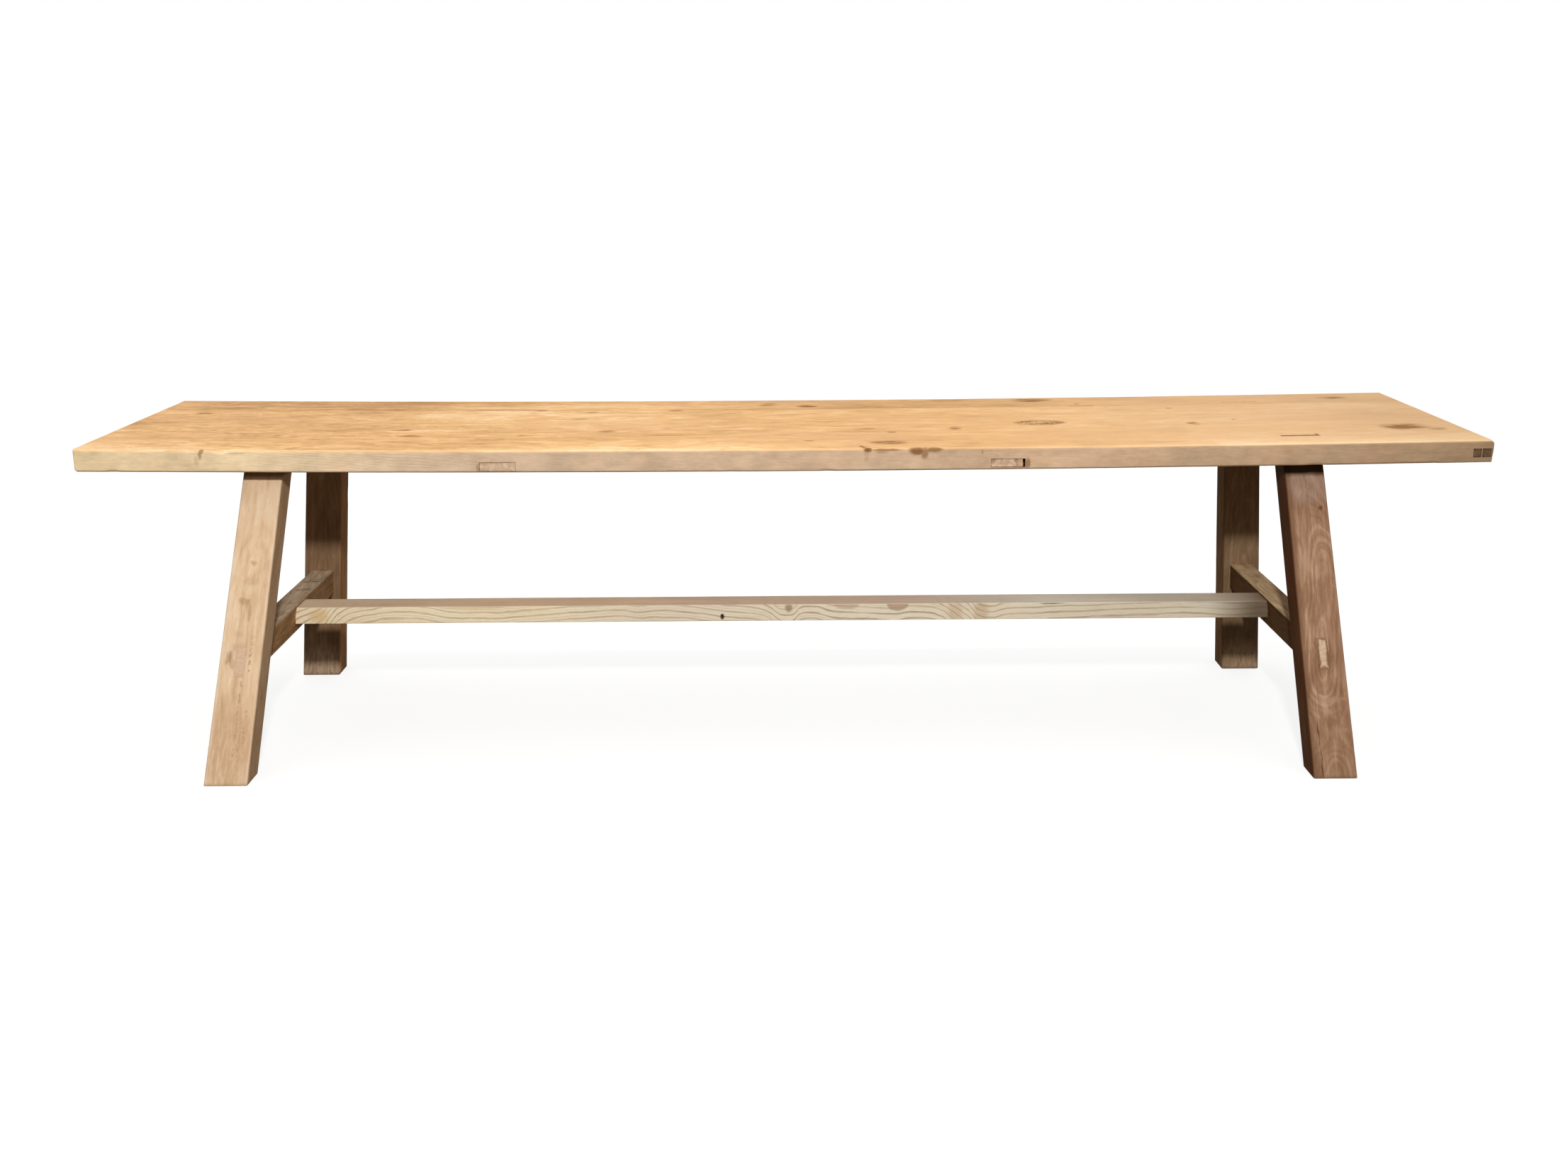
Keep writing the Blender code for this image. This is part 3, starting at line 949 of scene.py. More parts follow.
SWIRL_MARKS = in_metres((
    (-790, -55, 6, 7, 0.25), (-765, -75, 5, 6, 0.22), (-740, -88, 6, 6, 0.25), (-715, -98, 5, 7, 0.23),
    (-690, -100, 6, 8, 0.27), (-665, -103, 5, 6, 0.25), (-640, -60, 20, 12, 0.2),
    (-625, -120, 18, 14, 0.22), (-760, 20, 22, 10, 0.15), (-690, 60, 26, 12, 0.15),
), 4)
OVAL_KNOT = (0.361, -0.02, 0.034, 0.022)
EDGE_MARKS = in_metres((  # x, depth below the top, half x, half z, strength
    (-757, 2, 3, 3.5, 0.75), (-759, 7.5, 2.2, 5.5, 0.6), (-764, 15, 3, 6, 0.22),
    (-712, 4.5, 12, 1, 0.3), (110.5, 1.8, 5, 3.4, 1), (108, 15, 4, 3, 0.22), (134, 2.2, 19, 1.6, 0.75),
    (129, 4.8, 8, 2.2, 0.4), (174, 3.8, 10, 5.8, 0.95), (184, 6.2, 5, 8.5, 0.75),
    (196, 2.5, 11, 3.4, 0.85), (258.9, 6, 1.2, 3, 0.45), (318, 21.5, 3.6, 6.2, 0.75),
    (296, 28.5, 20, 1.2, 0.45), (-373, 16.2, 24, 0.8, 0.6), (-398.5, 23.5, 2.2, 5, 0.5),
), 4)
EDGE_LINE = 0.0034  # spacing of the fine lines on the front edge
EDGE_SLANT = -22
HONEY_DARK = (0.45, 0.255, 0.11)
HONEY = (0.745, 0.45, 0.21)
HONEY_PALE = (0.93, 0.7, 0.42)
KNOT_BROWN = (0.24, 0.11, 0.04)
ROSY = (0.72, 0.43, 0.235)
DULL = (0.66, 0.43, 0.262)
COOL = (0.9, 0.92, 0.92)
WARM = (1.06, 0.97, 0.93)
# painted highlight of the seat's worn front arris
ARRIS_HIGHLIGHT = (0.9, 0.61, 0.33)
SPOT_BROWN = (0.23, 0.11, 0.042)
# painted shade along the bottom of the seat's front edge
LOW_EDGE_SHADE = (0.22, 0.145, 0.09)
JOINT_BROWN = (0.27, 0.14, 0.065)
END_BROWN = (0.56, 0.36, 0.2)
UNDER_BROWN = (0.42, 0.27, 0.15)
# painted shade for the walls inside the seat's mortises
RECESS_SHADE = (0.11, 0.062, 0.034)
SEAT_RINGS = (0.0085, 0.2, 1.3, 1.2)  # spacing, wander, pace and waver of the growth rings
DRY_SHIFT = 0.003  # the open seam in front of the tenon at the front right
DRY_HALF = 0.026
EDGE_STOPS = (  # along the front edge, from the left end to the right
    (0, (0.835, 0.655, 0.405)), (0.11, (0.8, 0.625, 0.4)), (0.2, (0.69, 0.53, 0.36)),
    (0.3, (0.59, 0.435, 0.305)), (0.5, (0.575, 0.415, 0.28)), (0.7, (0.585, 0.41, 0.27)),
    (0.9, (0.425, 0.29, 0.182)), (1, (0.35, 0.23, 0.138)),
)
JOINT_DIRT = ((-0.665, -0.545, 0.75), (-0.5, -0.345, 0.8), (-0.74, -0.67, 0.35), (0.42, 0.47, 0.5))


def oval_knot(w, ragged, height):
    """Give the mask of the large oval knot, ticked inside and darker round its rim."""
    x, y, half_x, half_y = OVAL_KNOT
    mark = w.mark(ragged, (x, y, height), (half_x, half_y, 0.03), 0.2)
    w.bend(mark.other("Swell") * 0.03)
    away = mark.other("Away")
    ticks = w.grain(260, 90, 81).span(0.42, 0.6)
    inside = away.span(1.05, 0.85) * (0.44 + ticks * 0.26)
    return inside.above(abs(away - 0.95).span(0.22, 0.03, 0, 0.34))


def seat_top(w, tone, cloud, pores):
    """Colour the top face: honey, with a rosy cast here and there, and duller to the right."""
    tone += w.y.span(FRONT_Y + 0.06, FRONT_Y + 0.006) * cloud.span(0.35, 0.6) * 0.22
    w.tones(tone, HONEY_DARK, HONEY, HONEY_PALE)
    w.lay(w.grain(3.1, 6, 35).span(0.45, 0.75, 0, 0.35), ROSY)
    w.lay(w.x.span(0.2, 0.7, 0, 0.45), DULL)
    w.dim(w.x.span(0.66, 0.92), COOL)
    w.lay(pores * 0.22, HONEY_DARK)


def edge_colour(w, fibre, streak, fine, drop):
    """Give the colour of the front edge, with the fine slanting lines at its left end and painted shade along
    its bottom.
    """
    flow = drop * (1 / EDGE_LINE) + w.x * EDGE_SLANT + w.grain(7, 30, 57).centred(5)
    lines = (flow * TURN).calc("SINE") * abs(w.x + 0.55).span(0.2, 0.1, 0.012, 0.055)
    blotch = w.grain(13, 24, 51, 4, 0.6)
    patch = w.grain(36, 50, 53, 4, 0.65)
    tone = 1 + lines + streak.centred(0.14) + fine.centred(0.3) + fibre.centred(0.18)
    tone = tone + blotch.centred(0.65) + patch.centred(0.5)
    colour = w.mix(1, w.ramp(w.x.scaled(0.5 / HALF_LENGTH, 0.5), EDGE_STOPS), tone, "MULTIPLY")
    colour = w.mix(w.grain(11, 18, 59).span(0.45, 0.7, 0, 0.35), colour, WARM, "MULTIPLY")
    # Painted shade along the bottom of the front edge, where its lower arris turns down
    low_line = drop.span(THICKNESS - 0.003, THICKNESS - 0.0008) * blotch.span(0.3, 0.6, 0.35, 0.8)
    return w.mix(low_line, colour, LOW_EDGE_SHADE)


def seat_front(w, fibre, streak, drop, from_front, edge_rows):
    """Colour the front edge, and the worn arris above it with a painted highlight, the palest line."""
    fine = w.grain(60, 330, 55, 3, 0.6)
    front = from_front.span(0.0016, 0.0007) * drop.span(0.0012, 0.003)
    w.lay(front, edge_colour(w, fibre, streak, fine, drop))
    # A painted highlight along the worn arris, strongest towards the left
    arris = from_front.above(drop).span(0.0052, 0.0016) * w.grain(9, 20, 57).span(0.25, 0.6)
    w.lay(arris * w.x.span(-0.6, 0.4, 0.42, 0.15), ARRIS_HIGHLIGHT)
    spots = [(x, FRONT_Y, SEAT_TOP - bow(x) - down, hx, 0.005, hz, k) for x, down, hx, hz, k in edge_rows]
    mask = w.marks(spots, w.ragged_place(0.0022, 260), 0.4)
    w.lay(mask * fine.span(0.25, 0.55, 0.65, 1), SPOT_BROWN)


def dry_seam(w, drop):
    """Darken the open seam in front of the tenon at the front right."""
    leg = LEGS["front", "right"]
    along = abs(w.x - (leg.x(SEAT_TOP) + DRY_SHIFT)).span(DRY_HALF + 0.002, DRY_HALF - 0.002)
    seam = w.y + (leg.tenon_half_y - leg.y(SEAT_TOP) + 0.001) + w.grain(60, 60, 87).centred(0.0016)
    w.lay(abs(seam).span(0.012, 0.006) * along * drop.span(0.004, 0.002) * 0.95, KNOT_BROWN)


def joint_dirt(w):
    """Lay old dirt in the joint of the boards."""
    near = abs(w.y - JOINT_Y + w.grain(6, 8, 63).centred(0.003))
    worst = None
    for low, high, strength in JOINT_DIRT:
        middle, half = halves(low, high)
        part = abs(w.x - middle).span(half, half * 0.55) * strength
        worst = part if worst is None else worst.above(part)
    fine_line = near.span(0.0034, 0.0006) * w.x.span(0.1, 0.6, 0.5, 0.3)
    line = (worst * near.span(0.009, 0.0015)).above(fine_line)
    w.lay(line * 0.75, JOINT_BROWN)


def seat_outsides(w, phase, drop, from_front):
    """Colour the end grain and the underside, and lay painted shade on the mortises' walls."""
    end = abs(w.x).span(HALF_LENGTH - 0.0012, HALF_LENGTH - 0.0004)
    end_rings = (phase * 6.28).calc("SINE").span(-0.6, 1, 0.78, 1)
    w.lay(end * 0.8, w.mix(1, END_BROWN, end_rings, "MULTIPLY"))
    w.lay(drop.span(THICKNESS - 0.0015, THICKNESS - 0.0005) * 0.6, UNDER_BROWN)
    # Painted shade on the walls inside the board
    inside = drop.span(0.006, 0.009) * drop.span(THICKNESS - 0.0016, THICKNESS - 0.0026)
    wall = from_front.span(0.001, 0.003) * inside * abs(w.x).span(HALF_LENGTH - 0.003, HALF_LENGTH - 0.005)
    w.lay(wall * 0.9, RECESS_SHADE)


def seat_wood(name, seed, rows, is_front):
    """Make the seat's honey elm: mottled and low in contrast on top, greyer along the front edge."""
    w = Wood(name, "x", seed)
    share = w.x * (1 / HALF_LENGTH)
    drop = SEAT_TOP - w.z - (share * share).scaled(-SAG, SAG)
    ragged = w.ragged_place(0.009, 80)
    height = SEAT_TOP - SAG / 2
    knots = w.marks([(x, y, height, hx, hy, 0.014, k) for x, y, hx, hy, k in rows], ragged, 0.55, push=1.1)
    fibre, streak, pores = w.layers()
    if is_front:
        knots = knots.above(oval_knot(w, ragged, height))
    phase = w.rings(0.05, 0.3 + w.x * 0.05, *SEAT_RINGS)
    ring = w.ring_tone(phase, 2)
    broad = w.grain(7, 26, 21, 5, 0.6, 1.4)
    narrow = w.grain(26, 62, 23, 5, 0.62, 1.2)
    dashes = w.grain(17, 62, 25, 4, 0.6).span(0.58, 0.7)
    cloud = w.grain(2, 6, 27, 3)
    left = w.x.span(-0.05, -0.7)
    # A brighter patch on the top: painted light
    painted_light_patch = abs(w.x + 0.34).span(0.26, 0.12) * w.y.span(-0.13, -0.03)
    tone = (0.53 if is_front else w.x.span(0.2, 0.6, 0.36, 0.47)) + ring * -0.04
    tone += streak.centred(0.18) + fibre.centred(0.16)
    tone += (broad.centred(1.1) + narrow.centred(0.8) + dashes * -0.24) * w.x.span(0.5, -0.2, 0.6, 1)
    tone += w.grain(34, 52, 29, 5, 0.7, 1.5).centred(1) * left + cloud.centred(0.9) + left * -0.1
    tone += painted_light_patch * 0.18 + abs(w.x - 0.11).span(0.38, 0.18) * -0.07
    seat_top(w, tone, cloud, pores)
    from_front = w.y - FRONT_Y + w.grain(18, 30, 41, 3).centred(0.0022)
    if is_front:
        seat_front(w, fibre, streak, drop, from_front, EDGE_MARKS)
    torn = w.grain(26, 90, 85, 4, 0.7).span(0.38, 0.6, 0.42, 1.6)
    w.lay((knots * torn).below(1) * 0.9, KNOT_BROWN)
    if is_front:
        dry_seam(w, drop)
    joint_dirt(w)
    seat_outsides(w, phase, drop, from_front)
    roughness = 0.56 + broad.centred(0.22) + knots * 0.12
    return w.shade(roughness, fibre * 0.35 + streak * 0.5 + ring * -0.5 + pores * -0.5)


# Leg wood


def on_face(leg, rows):
    """Place rows of x, height, half x, half height and more on a leg's front face."""
    rows = in_metres(rows, 4)
    return [(z, x, -leg.half_y, hz, hx, 0.012, *rest) for x, z, hx, hz, *rest in rows]


def leg_wood(name, key, look):
    """Make a leg's elm, with rings that flow down its length and part round the rail's tenon."""
    row, side = key
    leg, rail = LEGS[key], RAILS[side]
    w = Wood(name, "z", look["seed"], leg=leg)
    tenon_z = (rail["low"] + rail["high"]) / 2
    dark, middle, pale = look["colours"]
    ragged = w.ragged_place(0.007, 130)
    w.marks([(tenon_z, 0, leg.row * leg.half_y, 0.022, 0.0065, 0.03, 1)], ragged, 0.4, push=look["part"])
    w.marks(on_face(leg, look["bulges"]), ragged, 0.45, push=1)
    fibre, streak, pores = w.layers()
    heart_u = w.curve(w.s, look["heart_u"], -0.04, 0.04, SEAT_TOP)
    heart_v = w.curve(w.s, look["heart_v"], 0, 0.06, SEAT_TOP) - leg.half_y
    ring = w.ring_tone(w.rings(heart_u, heart_v, look["spacing"], look["wander"], 6, 0.8), look["sharp"])
    near = w.grain(24, 120, 17, 4, 0.6, 0.6)
    mottle = w.grain(13, 30, 21, 4, 0.6, 1)
    tone = 0.55 - 0.4 * look["lines"] + ring * look["lines"] + streak.centred(0.5) + fibre.centred(0.3)
    tone += near.centred(look["mottle"]) + mottle.centred(look["mottle"]) + w.grain(5, 12, 27, 3).centred(0.7)
    w.tones(tone, dark, middle, pale)
    w.lay(pores * 0.25, dark)
    w.tint(on_face(leg, look["tints"]), ragged)
    if look["columns"]:
        dashes = w.grain(190, 60, 91).span(0.47, 0.6)
        w.lay(w.marks(on_face(leg, look["columns"]), ragged, 0.5) * dashes, dark)
    half_x = w.s.scaled(-leg.taper, leg.foot_half)
    # A painted highlight along the front arrises
    arris = (half_x - abs(w.u)).above(leg.half_y - abs(w.v)).span(0.005, 0.0014)
    w.lay(arris * w.grain(20, 30, 57, 3).span(0.35, 0.62, 0, look["worn"]), pale)
    # Darker by the arris towards the middle of the bench, partly dirt and partly painted shade; the face
    # towards the middle is multiplied by a painted shade, and on the back left leg by painted light
    inner = half_x + w.u * SIDES[side]
    w.lay(inner.span(0.012, 0) * w.grain(16, 40, 67, 3).span(0.2, 0.6, 0.5, 1) * look["grime_and_shade"], dark)
    w.dim(inner.span(0.0022, 0.0004), look["inner"])
    # The tenon's end grain on the seat, a painted shade just under the seat, and the foot's end grain
    crown = w.s.span(SEAT_TOP - THICKNESS, SEAT_TOP - THICKNESS / 2)
    cells = 0.94 + w.grain(30, 260, 73, 3).centred(0.5)
    w.lay(crown, w.mix(1, look["end_colour"], cells, "MULTIPLY"))
    low = leg.shoulder - look["reach"]
    w.lay(w.s.span(low, low + 0.007, 0, look["seat_shade"]) * (1 - crown), tuple(part * 0.3 for part in dark))
    w.lay(w.s.span(0.006, 0, 0, 0.5), dark)
    return w.shade(0.58 + mottle.centred(0.2), fibre * 0.35 + streak * 0.5 + ring * 0.3 + pores * -0.5)


RAIL_RINGS = (0.0048, 0.02, 5, 0.8)


def rail_end(w, look, middle_z):
    """Give the colour of the end grain on a rail's tenons, in its darker rim."""
    across = abs(w.u - look["end_middle"]) + w.grain(10, 110, 77, 3).centred(0.008)
    upwards = abs(w.z - middle_z) + w.grain(10, 90, 79, 3).centred(0.01)
    outside = across.span(look["end_half"], look["end_half"] + 0.002).above(upwards.span(0.0155, 0.0185))
    cells = 0.95 + w.grain(10, 260, 71, 4, 0.7).centred(look["end_contrast"])
    return w.mix(1, w.mix(outside, look["end_colour"], look["end_rim"]), cells, "MULTIPLY")


def rail_wood(name, side, look):
    """Make a rail's elm, with dirt and saw marks on its top, painted shade on its sides, and paler end grain
    on the tenons.
    """
    rail = RAILS[side]
    w = Wood(name, "y", look["seed"], leg=rail["leg"])
    dark, middle, pale = look["colours"]
    ragged = w.ragged_place(0.004, 110)
    fibre, streak, pores = w.layers()
    ring = w.ring_tone(w.rings(0.012, rail["low"] - 0.02, *RAIL_RINGS), 2)
    mottle = w.grain(16, 40, 21, 4, 0.65, 0.8)
    tone = 0.62 + ring * -0.22 + streak.centred(0.6) + fibre.centred(0.35) + mottle.centred(1.2)
    w.tones(tone + w.grain(40, 220, 23, 4, 0.65).centred(0.8), dark, middle, pale)
    w.lay(pores * 0.3, dark)
    # The sides are multiplied by a painted shade, and the top keeps its own colour
    top = w.z.span(rail["high"] - 0.0025, rail["high"] - 0.0005)
    w.colour = w.mix(top, w.mix(1, w.colour, look["sides"], "MULTIPLY"), w.colour)
    rows = in_metres(look["spots"], 4)
    w.tint([(y, x, rail["high"], hy, hx, 0.006, *rest) for x, y, hx, hy, *rest in rows], ragged, 0.4)
    tip = sum(rail["tips"]) / 2
    w.lay(abs(w.s).span(tip - 0.012, tip - 0.006), rail_end(w, look, (rail["low"] + rail["high"]) / 2))
    return w.shade(0.62 + mottle.centred(0.2), fibre * 0.35 + streak * 0.5 + ring * -0.4 + pores * -0.5)


# Stretcher wood: the dark lines on its front face follow one drawn line, a few millimetres apart

FIGURE = (  # x, height of the line above the face's middle
    (-715, -62), (-695, -54), (-675, -46), (-660, -30), (-645, -14.5), (-619.3, -3.4), (-595.9, 0.8),
    (-572.6, 4.4), (-549.2, 4.9), (-525.9, 3.2), (-507.2, -0.6), (-483.9, -3.9), (-455.8, -5.1),
    (-418.5, -5.8), (-390.5, -3.2), (-362.4, -1.3), (-329.8, 0.7), (-297.1, 2.7), (-264.4, 4.1),
    (-236.4, 5.1), (-213, 2.3), (-185, 3.8), (-152.3, 3.1), (-124.3, -0.3), (-100.9, -4.1), (-63.6, -8),
    (-40, -11), (-25, -16), (-13, -25), (-3, -31.5), (7, -32), (17, -26), (29, -18.5), (42, -18.5),
    (58, -23), (78, -27.5), (105, -28.5), (135, -31), (160, -32), (180, -28.5), (205, -28), (225, -33),
    (240, -43), (270, -64), (300, -83), (315, -79), (335, -76.5), (365, -77), (400, -75.5), (450, -74),
    (500, -72), (540, -70.5), (580, -69), (620, -71.5), (650, -73), (690, -70),
)
FIGURE_SPACING = 0.0092
CREAM = (0.86, 0.75, 0.56)
CREAM_PALE = (0.94, 0.88, 0.74)
LINE_BROWN = (0.37, 0.265, 0.165)
PINK = (0.59, 0.41, 0.28)
CREAM_DARK = (0.6, 0.44, 0.27)
# painted light, lifting the left part of the stretcher's face
PAINTED_LIGHT_LEFT = (1.3, 1.24, 1.08)
GREYED = (0.52, 0.42, 0.3)
# painted shadow at the stretcher's right end
PAINTED_END_SHADOW = (0.13, 0.09, 0.052)
PORE_BROWN = (0.3, 0.2, 0.12)
RUST = (0.05, 0.028, 0.016)
# The last, dark stop paints shadow on the top's right end
TOP_STOPS = (  # along its top, from the left end to the right
    (0, (0.87, 0.665, 0.455)), (0.24, (0.98, 0.725, 0.495)), (0.42, (0.875, 0.65, 0.475)),
    (0.64, (0.84, 0.66, 0.515)), (0.77, (0.96, 0.89, 0.735)), (0.87, (0.83, 0.75, 0.6)),
    (0.945, (0.79, 0.69, 0.54)), (1, (0.27, 0.185, 0.115)),
)
PASSAGES = (
    # Edge, colour, and rows of x, height above the middle, half x, half height and strength
    (0.6, (0.66, 0.42, 0.17), ((-676, 0, 13, 10, 0.55),)),
    (0.15, LINE_BROWN, ((90, 12.5, 19, 8.5, 0.35), (164, 12.5, 15.5, 10.8, 0.7))),
    (0.3, PINK, ((90, 12.5, 16, 6.5, 0.4), (164, 12.5, 12, 8.5, 0.65))),
    (0.5, (0.52, 0.3, 0.15), ((248, 0, 10, 20, 0.35), (285, 0, 10, 20, 0.42))),
    (0.5, (0.55, 0.38, 0.22), ((-455, 12, 50, 4, 0.4),)),
    (0.4, (0.8, 0.76, 0.64), ((617, 6, 24, 5, 0.75),)),
    (0.5, (0.13, 0.085, 0.055), ((388, 12.5, 20, 2.2, 0.9),)),
    (0.5, (0.36, 0.25, 0.14), ((6, 7, 5, 6, 0.8),)),
)


def figure_lines(w, z):
    """Give the masks of the figure's dark lines, and of a fainter second set."""
    line = w.curve(w.x, FIGURE, -0.09, 0.02)
    back = w.y.span(BAR_Y, BAR_Y + BAR_HALF_Y * 0.8, 0, 0.011)
    lift = z - line + w.grain(22, 60, 3, 3, 0.6).centred(0.005) + w.grain(5, 24, 6).centred(0.008) + back
    phase = lift / FIGURE_SPACING + 0.5
    share = phase.calc("FRACT")
    weight = w.chance(phase, 0.62)
    depth = w.grain(9, 60, 33).span(0.3, 0.7, 0.28, 0.02, smooth=False)
    broken = w.grain(30, 160, 31, 3).span(0.25, 0.65, 0.55, 1)
    dark = share.span(depth, 0.46).calc("POWER", 0.8) * share.span(0.6, 0.52) * weight * broken
    return dark, share.span(0.78, 0.92) * share.span(1, 0.94) * (1 - weight) * 0.8


def stretcher_wood(seed):
    """Make the stretcher's boldly figured elm, whose top face shows only straight fine lines."""
    w = Wood("stretcher_elm", "x", seed)
    z = w.z - BAR_Z
    fibre, streak, pores = w.layers()
    dark, second = figure_lines(w, z)
    tone = 0.62 + streak.centred(0.42) + fibre.centred(0.22) + w.grain(7, 30, 43, 3).centred(0.55)
    w.tones(tone, CREAM_DARK, CREAM, CREAM_PALE, 0.5)
    w.lay((dark * 0.8 + second).below(1), LINE_BROWN)
    # Coloured passages: a yellow eye at the left end, two pink knots, reddish upright lines, a pale patch
    ragged = w.ragged_place(0.003, 150)
    for edge, colour, rows in PASSAGES:
        rows = [(x, BAR_LOW.y, BAR_Z + up, hx, 0.02, hz, k) for x, up, hx, hz, k in in_metres(rows, 4)]
        w.lay(w.marks(rows, ragged, edge), colour)
    # Lighter towards the left end: painted light
    w.dim(w.x.span(-0.15, -0.42, 0, 0.5), PAINTED_LIGHT_LEFT)
    w.lay(w.x.span(0.28, 0.5, 0, 0.18), GREYED)
    # Darker towards the right end: painted shadow
    w.lay(w.x.span(0.6, 0.69, 0, 0.92), PAINTED_END_SHADOW)
    # Top, back and bottom faces
    tone = 1 + streak.centred(0.3) + fibre.centred(0.22) + w.grain(6, 22, 47, 4).centred(0.34) + dark * -0.06
    half_x = RAILS["right"]["leg"].x(BAR_Z) - RAILS["right"]["half"]
    top_colour = w.mix(1, w.ramp(w.x.scaled(0.5 / half_x, 0.5), TOP_STOPS), tone, "MULTIPLY")
    w.lay(abs(z).span(BAR_HALF_Z - 0.001, BAR_HALF_Z - 0.0003), top_colour)
    w.lay(pores * 0.2, PORE_BROWN)
    hole_x, hole_z = w.x - NAIL_X, (z + NAIL_DROP) * 0.7
    rust = (hole_x * hole_x + hole_z * hole_z).calc("SQRT")
    w.lay(rust.span(0.0042, 0.0019, 0, 0.85), RUST)
    return w.shade(0.58 + dark * 0.12, fibre * 0.35 + streak * 0.45 + dark * -0.7 + pores * -0.5)


def plug_wood(name, seed, middle, dark):
    """Make a plug's weathered end grain."""
    w = Wood(name, "y", seed)
    cells = w.grain(60, 700, 5, 3, 0.6)
    patch = w.grain(30, 130, 9, 3, distortion=1)
    tone = 0.5 + cells.centred(0.35) + patch.centred(1.7)
    w.tones(tone, dark, middle, tuple(part * 1.25 for part in middle), 0.6)
    return w.shade(0.7 + cells.centred(0.1), cells + patch, 0.5)


SAWN = ((0.28, 0.17, 0.09), (0.45, 0.29, 0.16), (0.58, 0.4, 0.24))


def hidden_wood(name, seed):
    """Make the sawn elm of the loose tenons inside the seat."""
    w = Wood(name, "y", seed)
    fibre, streak, pores = w.layers()
    tone = 0.5 + streak.centred(0.6) + fibre.centred(0.5) + pores * -0.3
    w.tones(tone, *SAWN, 0.5)
    return w.shade(0.7 + streak.centred(0.1), fibre + streak)


# Putting the bench together

CRACK_FRONT = (  # x, depth below the top, width
    (0.1065, -0.0005, 0.0016), (0.109, 0.0014, 0.003), (0.112, 0.003, 0.0012),
)
CRACK_X = 0.11
CRACK_DEPTH = 0.003
CRACK_LEAD = 0.0004
END_DEPTH = 0.012
END_DEEPER = 0.006  # each crack of an end is this much deeper than the one before
SINK_REACH = 1.3  # the dip at a knot, as a share of its size
SINK_DEPTH = 0.0005
OVAL_SINK = 0.0004
TENON_SEED = 47
CRACK_END = (  # shift along y, depth below the top, width
    (0, 0.0008, 0.0004),
    (0.0012, THICKNESS * 0.35, 0.0011),
    (0.0006, THICKNESS * 0.65, 0.0007),
    (0.002, THICKNESS * 0.85, 0.0003),
)
CRACKED = {-1: (-0.13, -0.045, 0.062), 1: (-0.155, -0.02, 0.085)}


def seat_cracks():
    """List the cutters of the crack at the front edge's knot and of those in the ends."""
    face = SEAT_TOP - bow(CRACK_X)
    edge = [((x, FRONT_Y - CRACK_LEAD, face - down), width) for x, down, width in CRACK_FRONT]
    cracks = [crack(edge, (0, -1, 0), CRACK_DEPTH)]
    for side, places in CRACKED.items():
        for index, y in enumerate(places):
            x = side * HALF_LENGTH
            line = [((x, y + shift, SEAT_TOP - down), width) for shift, down, width in CRACK_END]
            cracks.append(crack(line, (side, 0, 0), END_DEPTH + END_DEEPER * index))
    return cracks


def make_seat():
    """Make both boards, cut the legs' and the plugs' mortises in them, and add the plugs."""
    front = ("front", (FRONT_Y, SEAT_HIGH.y), (3.3, 2), TOP_MARKS)
    rear = ("rear", (REAR_LOW.y, REAR_HIGH.y), (8.1, 5), REAR_MARKS)
    for row, ends, seed, marks in (front, rear):
        is_front = row == "front"
        sinks = [(x, y, hx * SINK_REACH, hy * SINK_REACH, SINK_DEPTH * k) for x, y, hx, hy, k in marks]
        sinks += [(*OVAL_KNOT, OVAL_SINK)] if is_front else []
        piece = board("board_" + row, *ends, seed[0], sinks, is_front)
        trim_ends(piece)
        mortises = [leg_mortise(LEGS["front" if is_front else "back", side]) for side in SIDES]
        carve(piece, mortises + ([plug_pocket(label) for label in PLUGS] if is_front else []))
        if is_front:
            carve(piece, seat_cracks())
        rows = marks + SWIRL_MARKS if is_front else marks
        finish_piece(piece, "seat_board_" + row, seat_wood(f"seat_{row}_elm", seed[1], rows, is_front))
    for number, label in enumerate(PLUGS):
        make_plug(number, label)
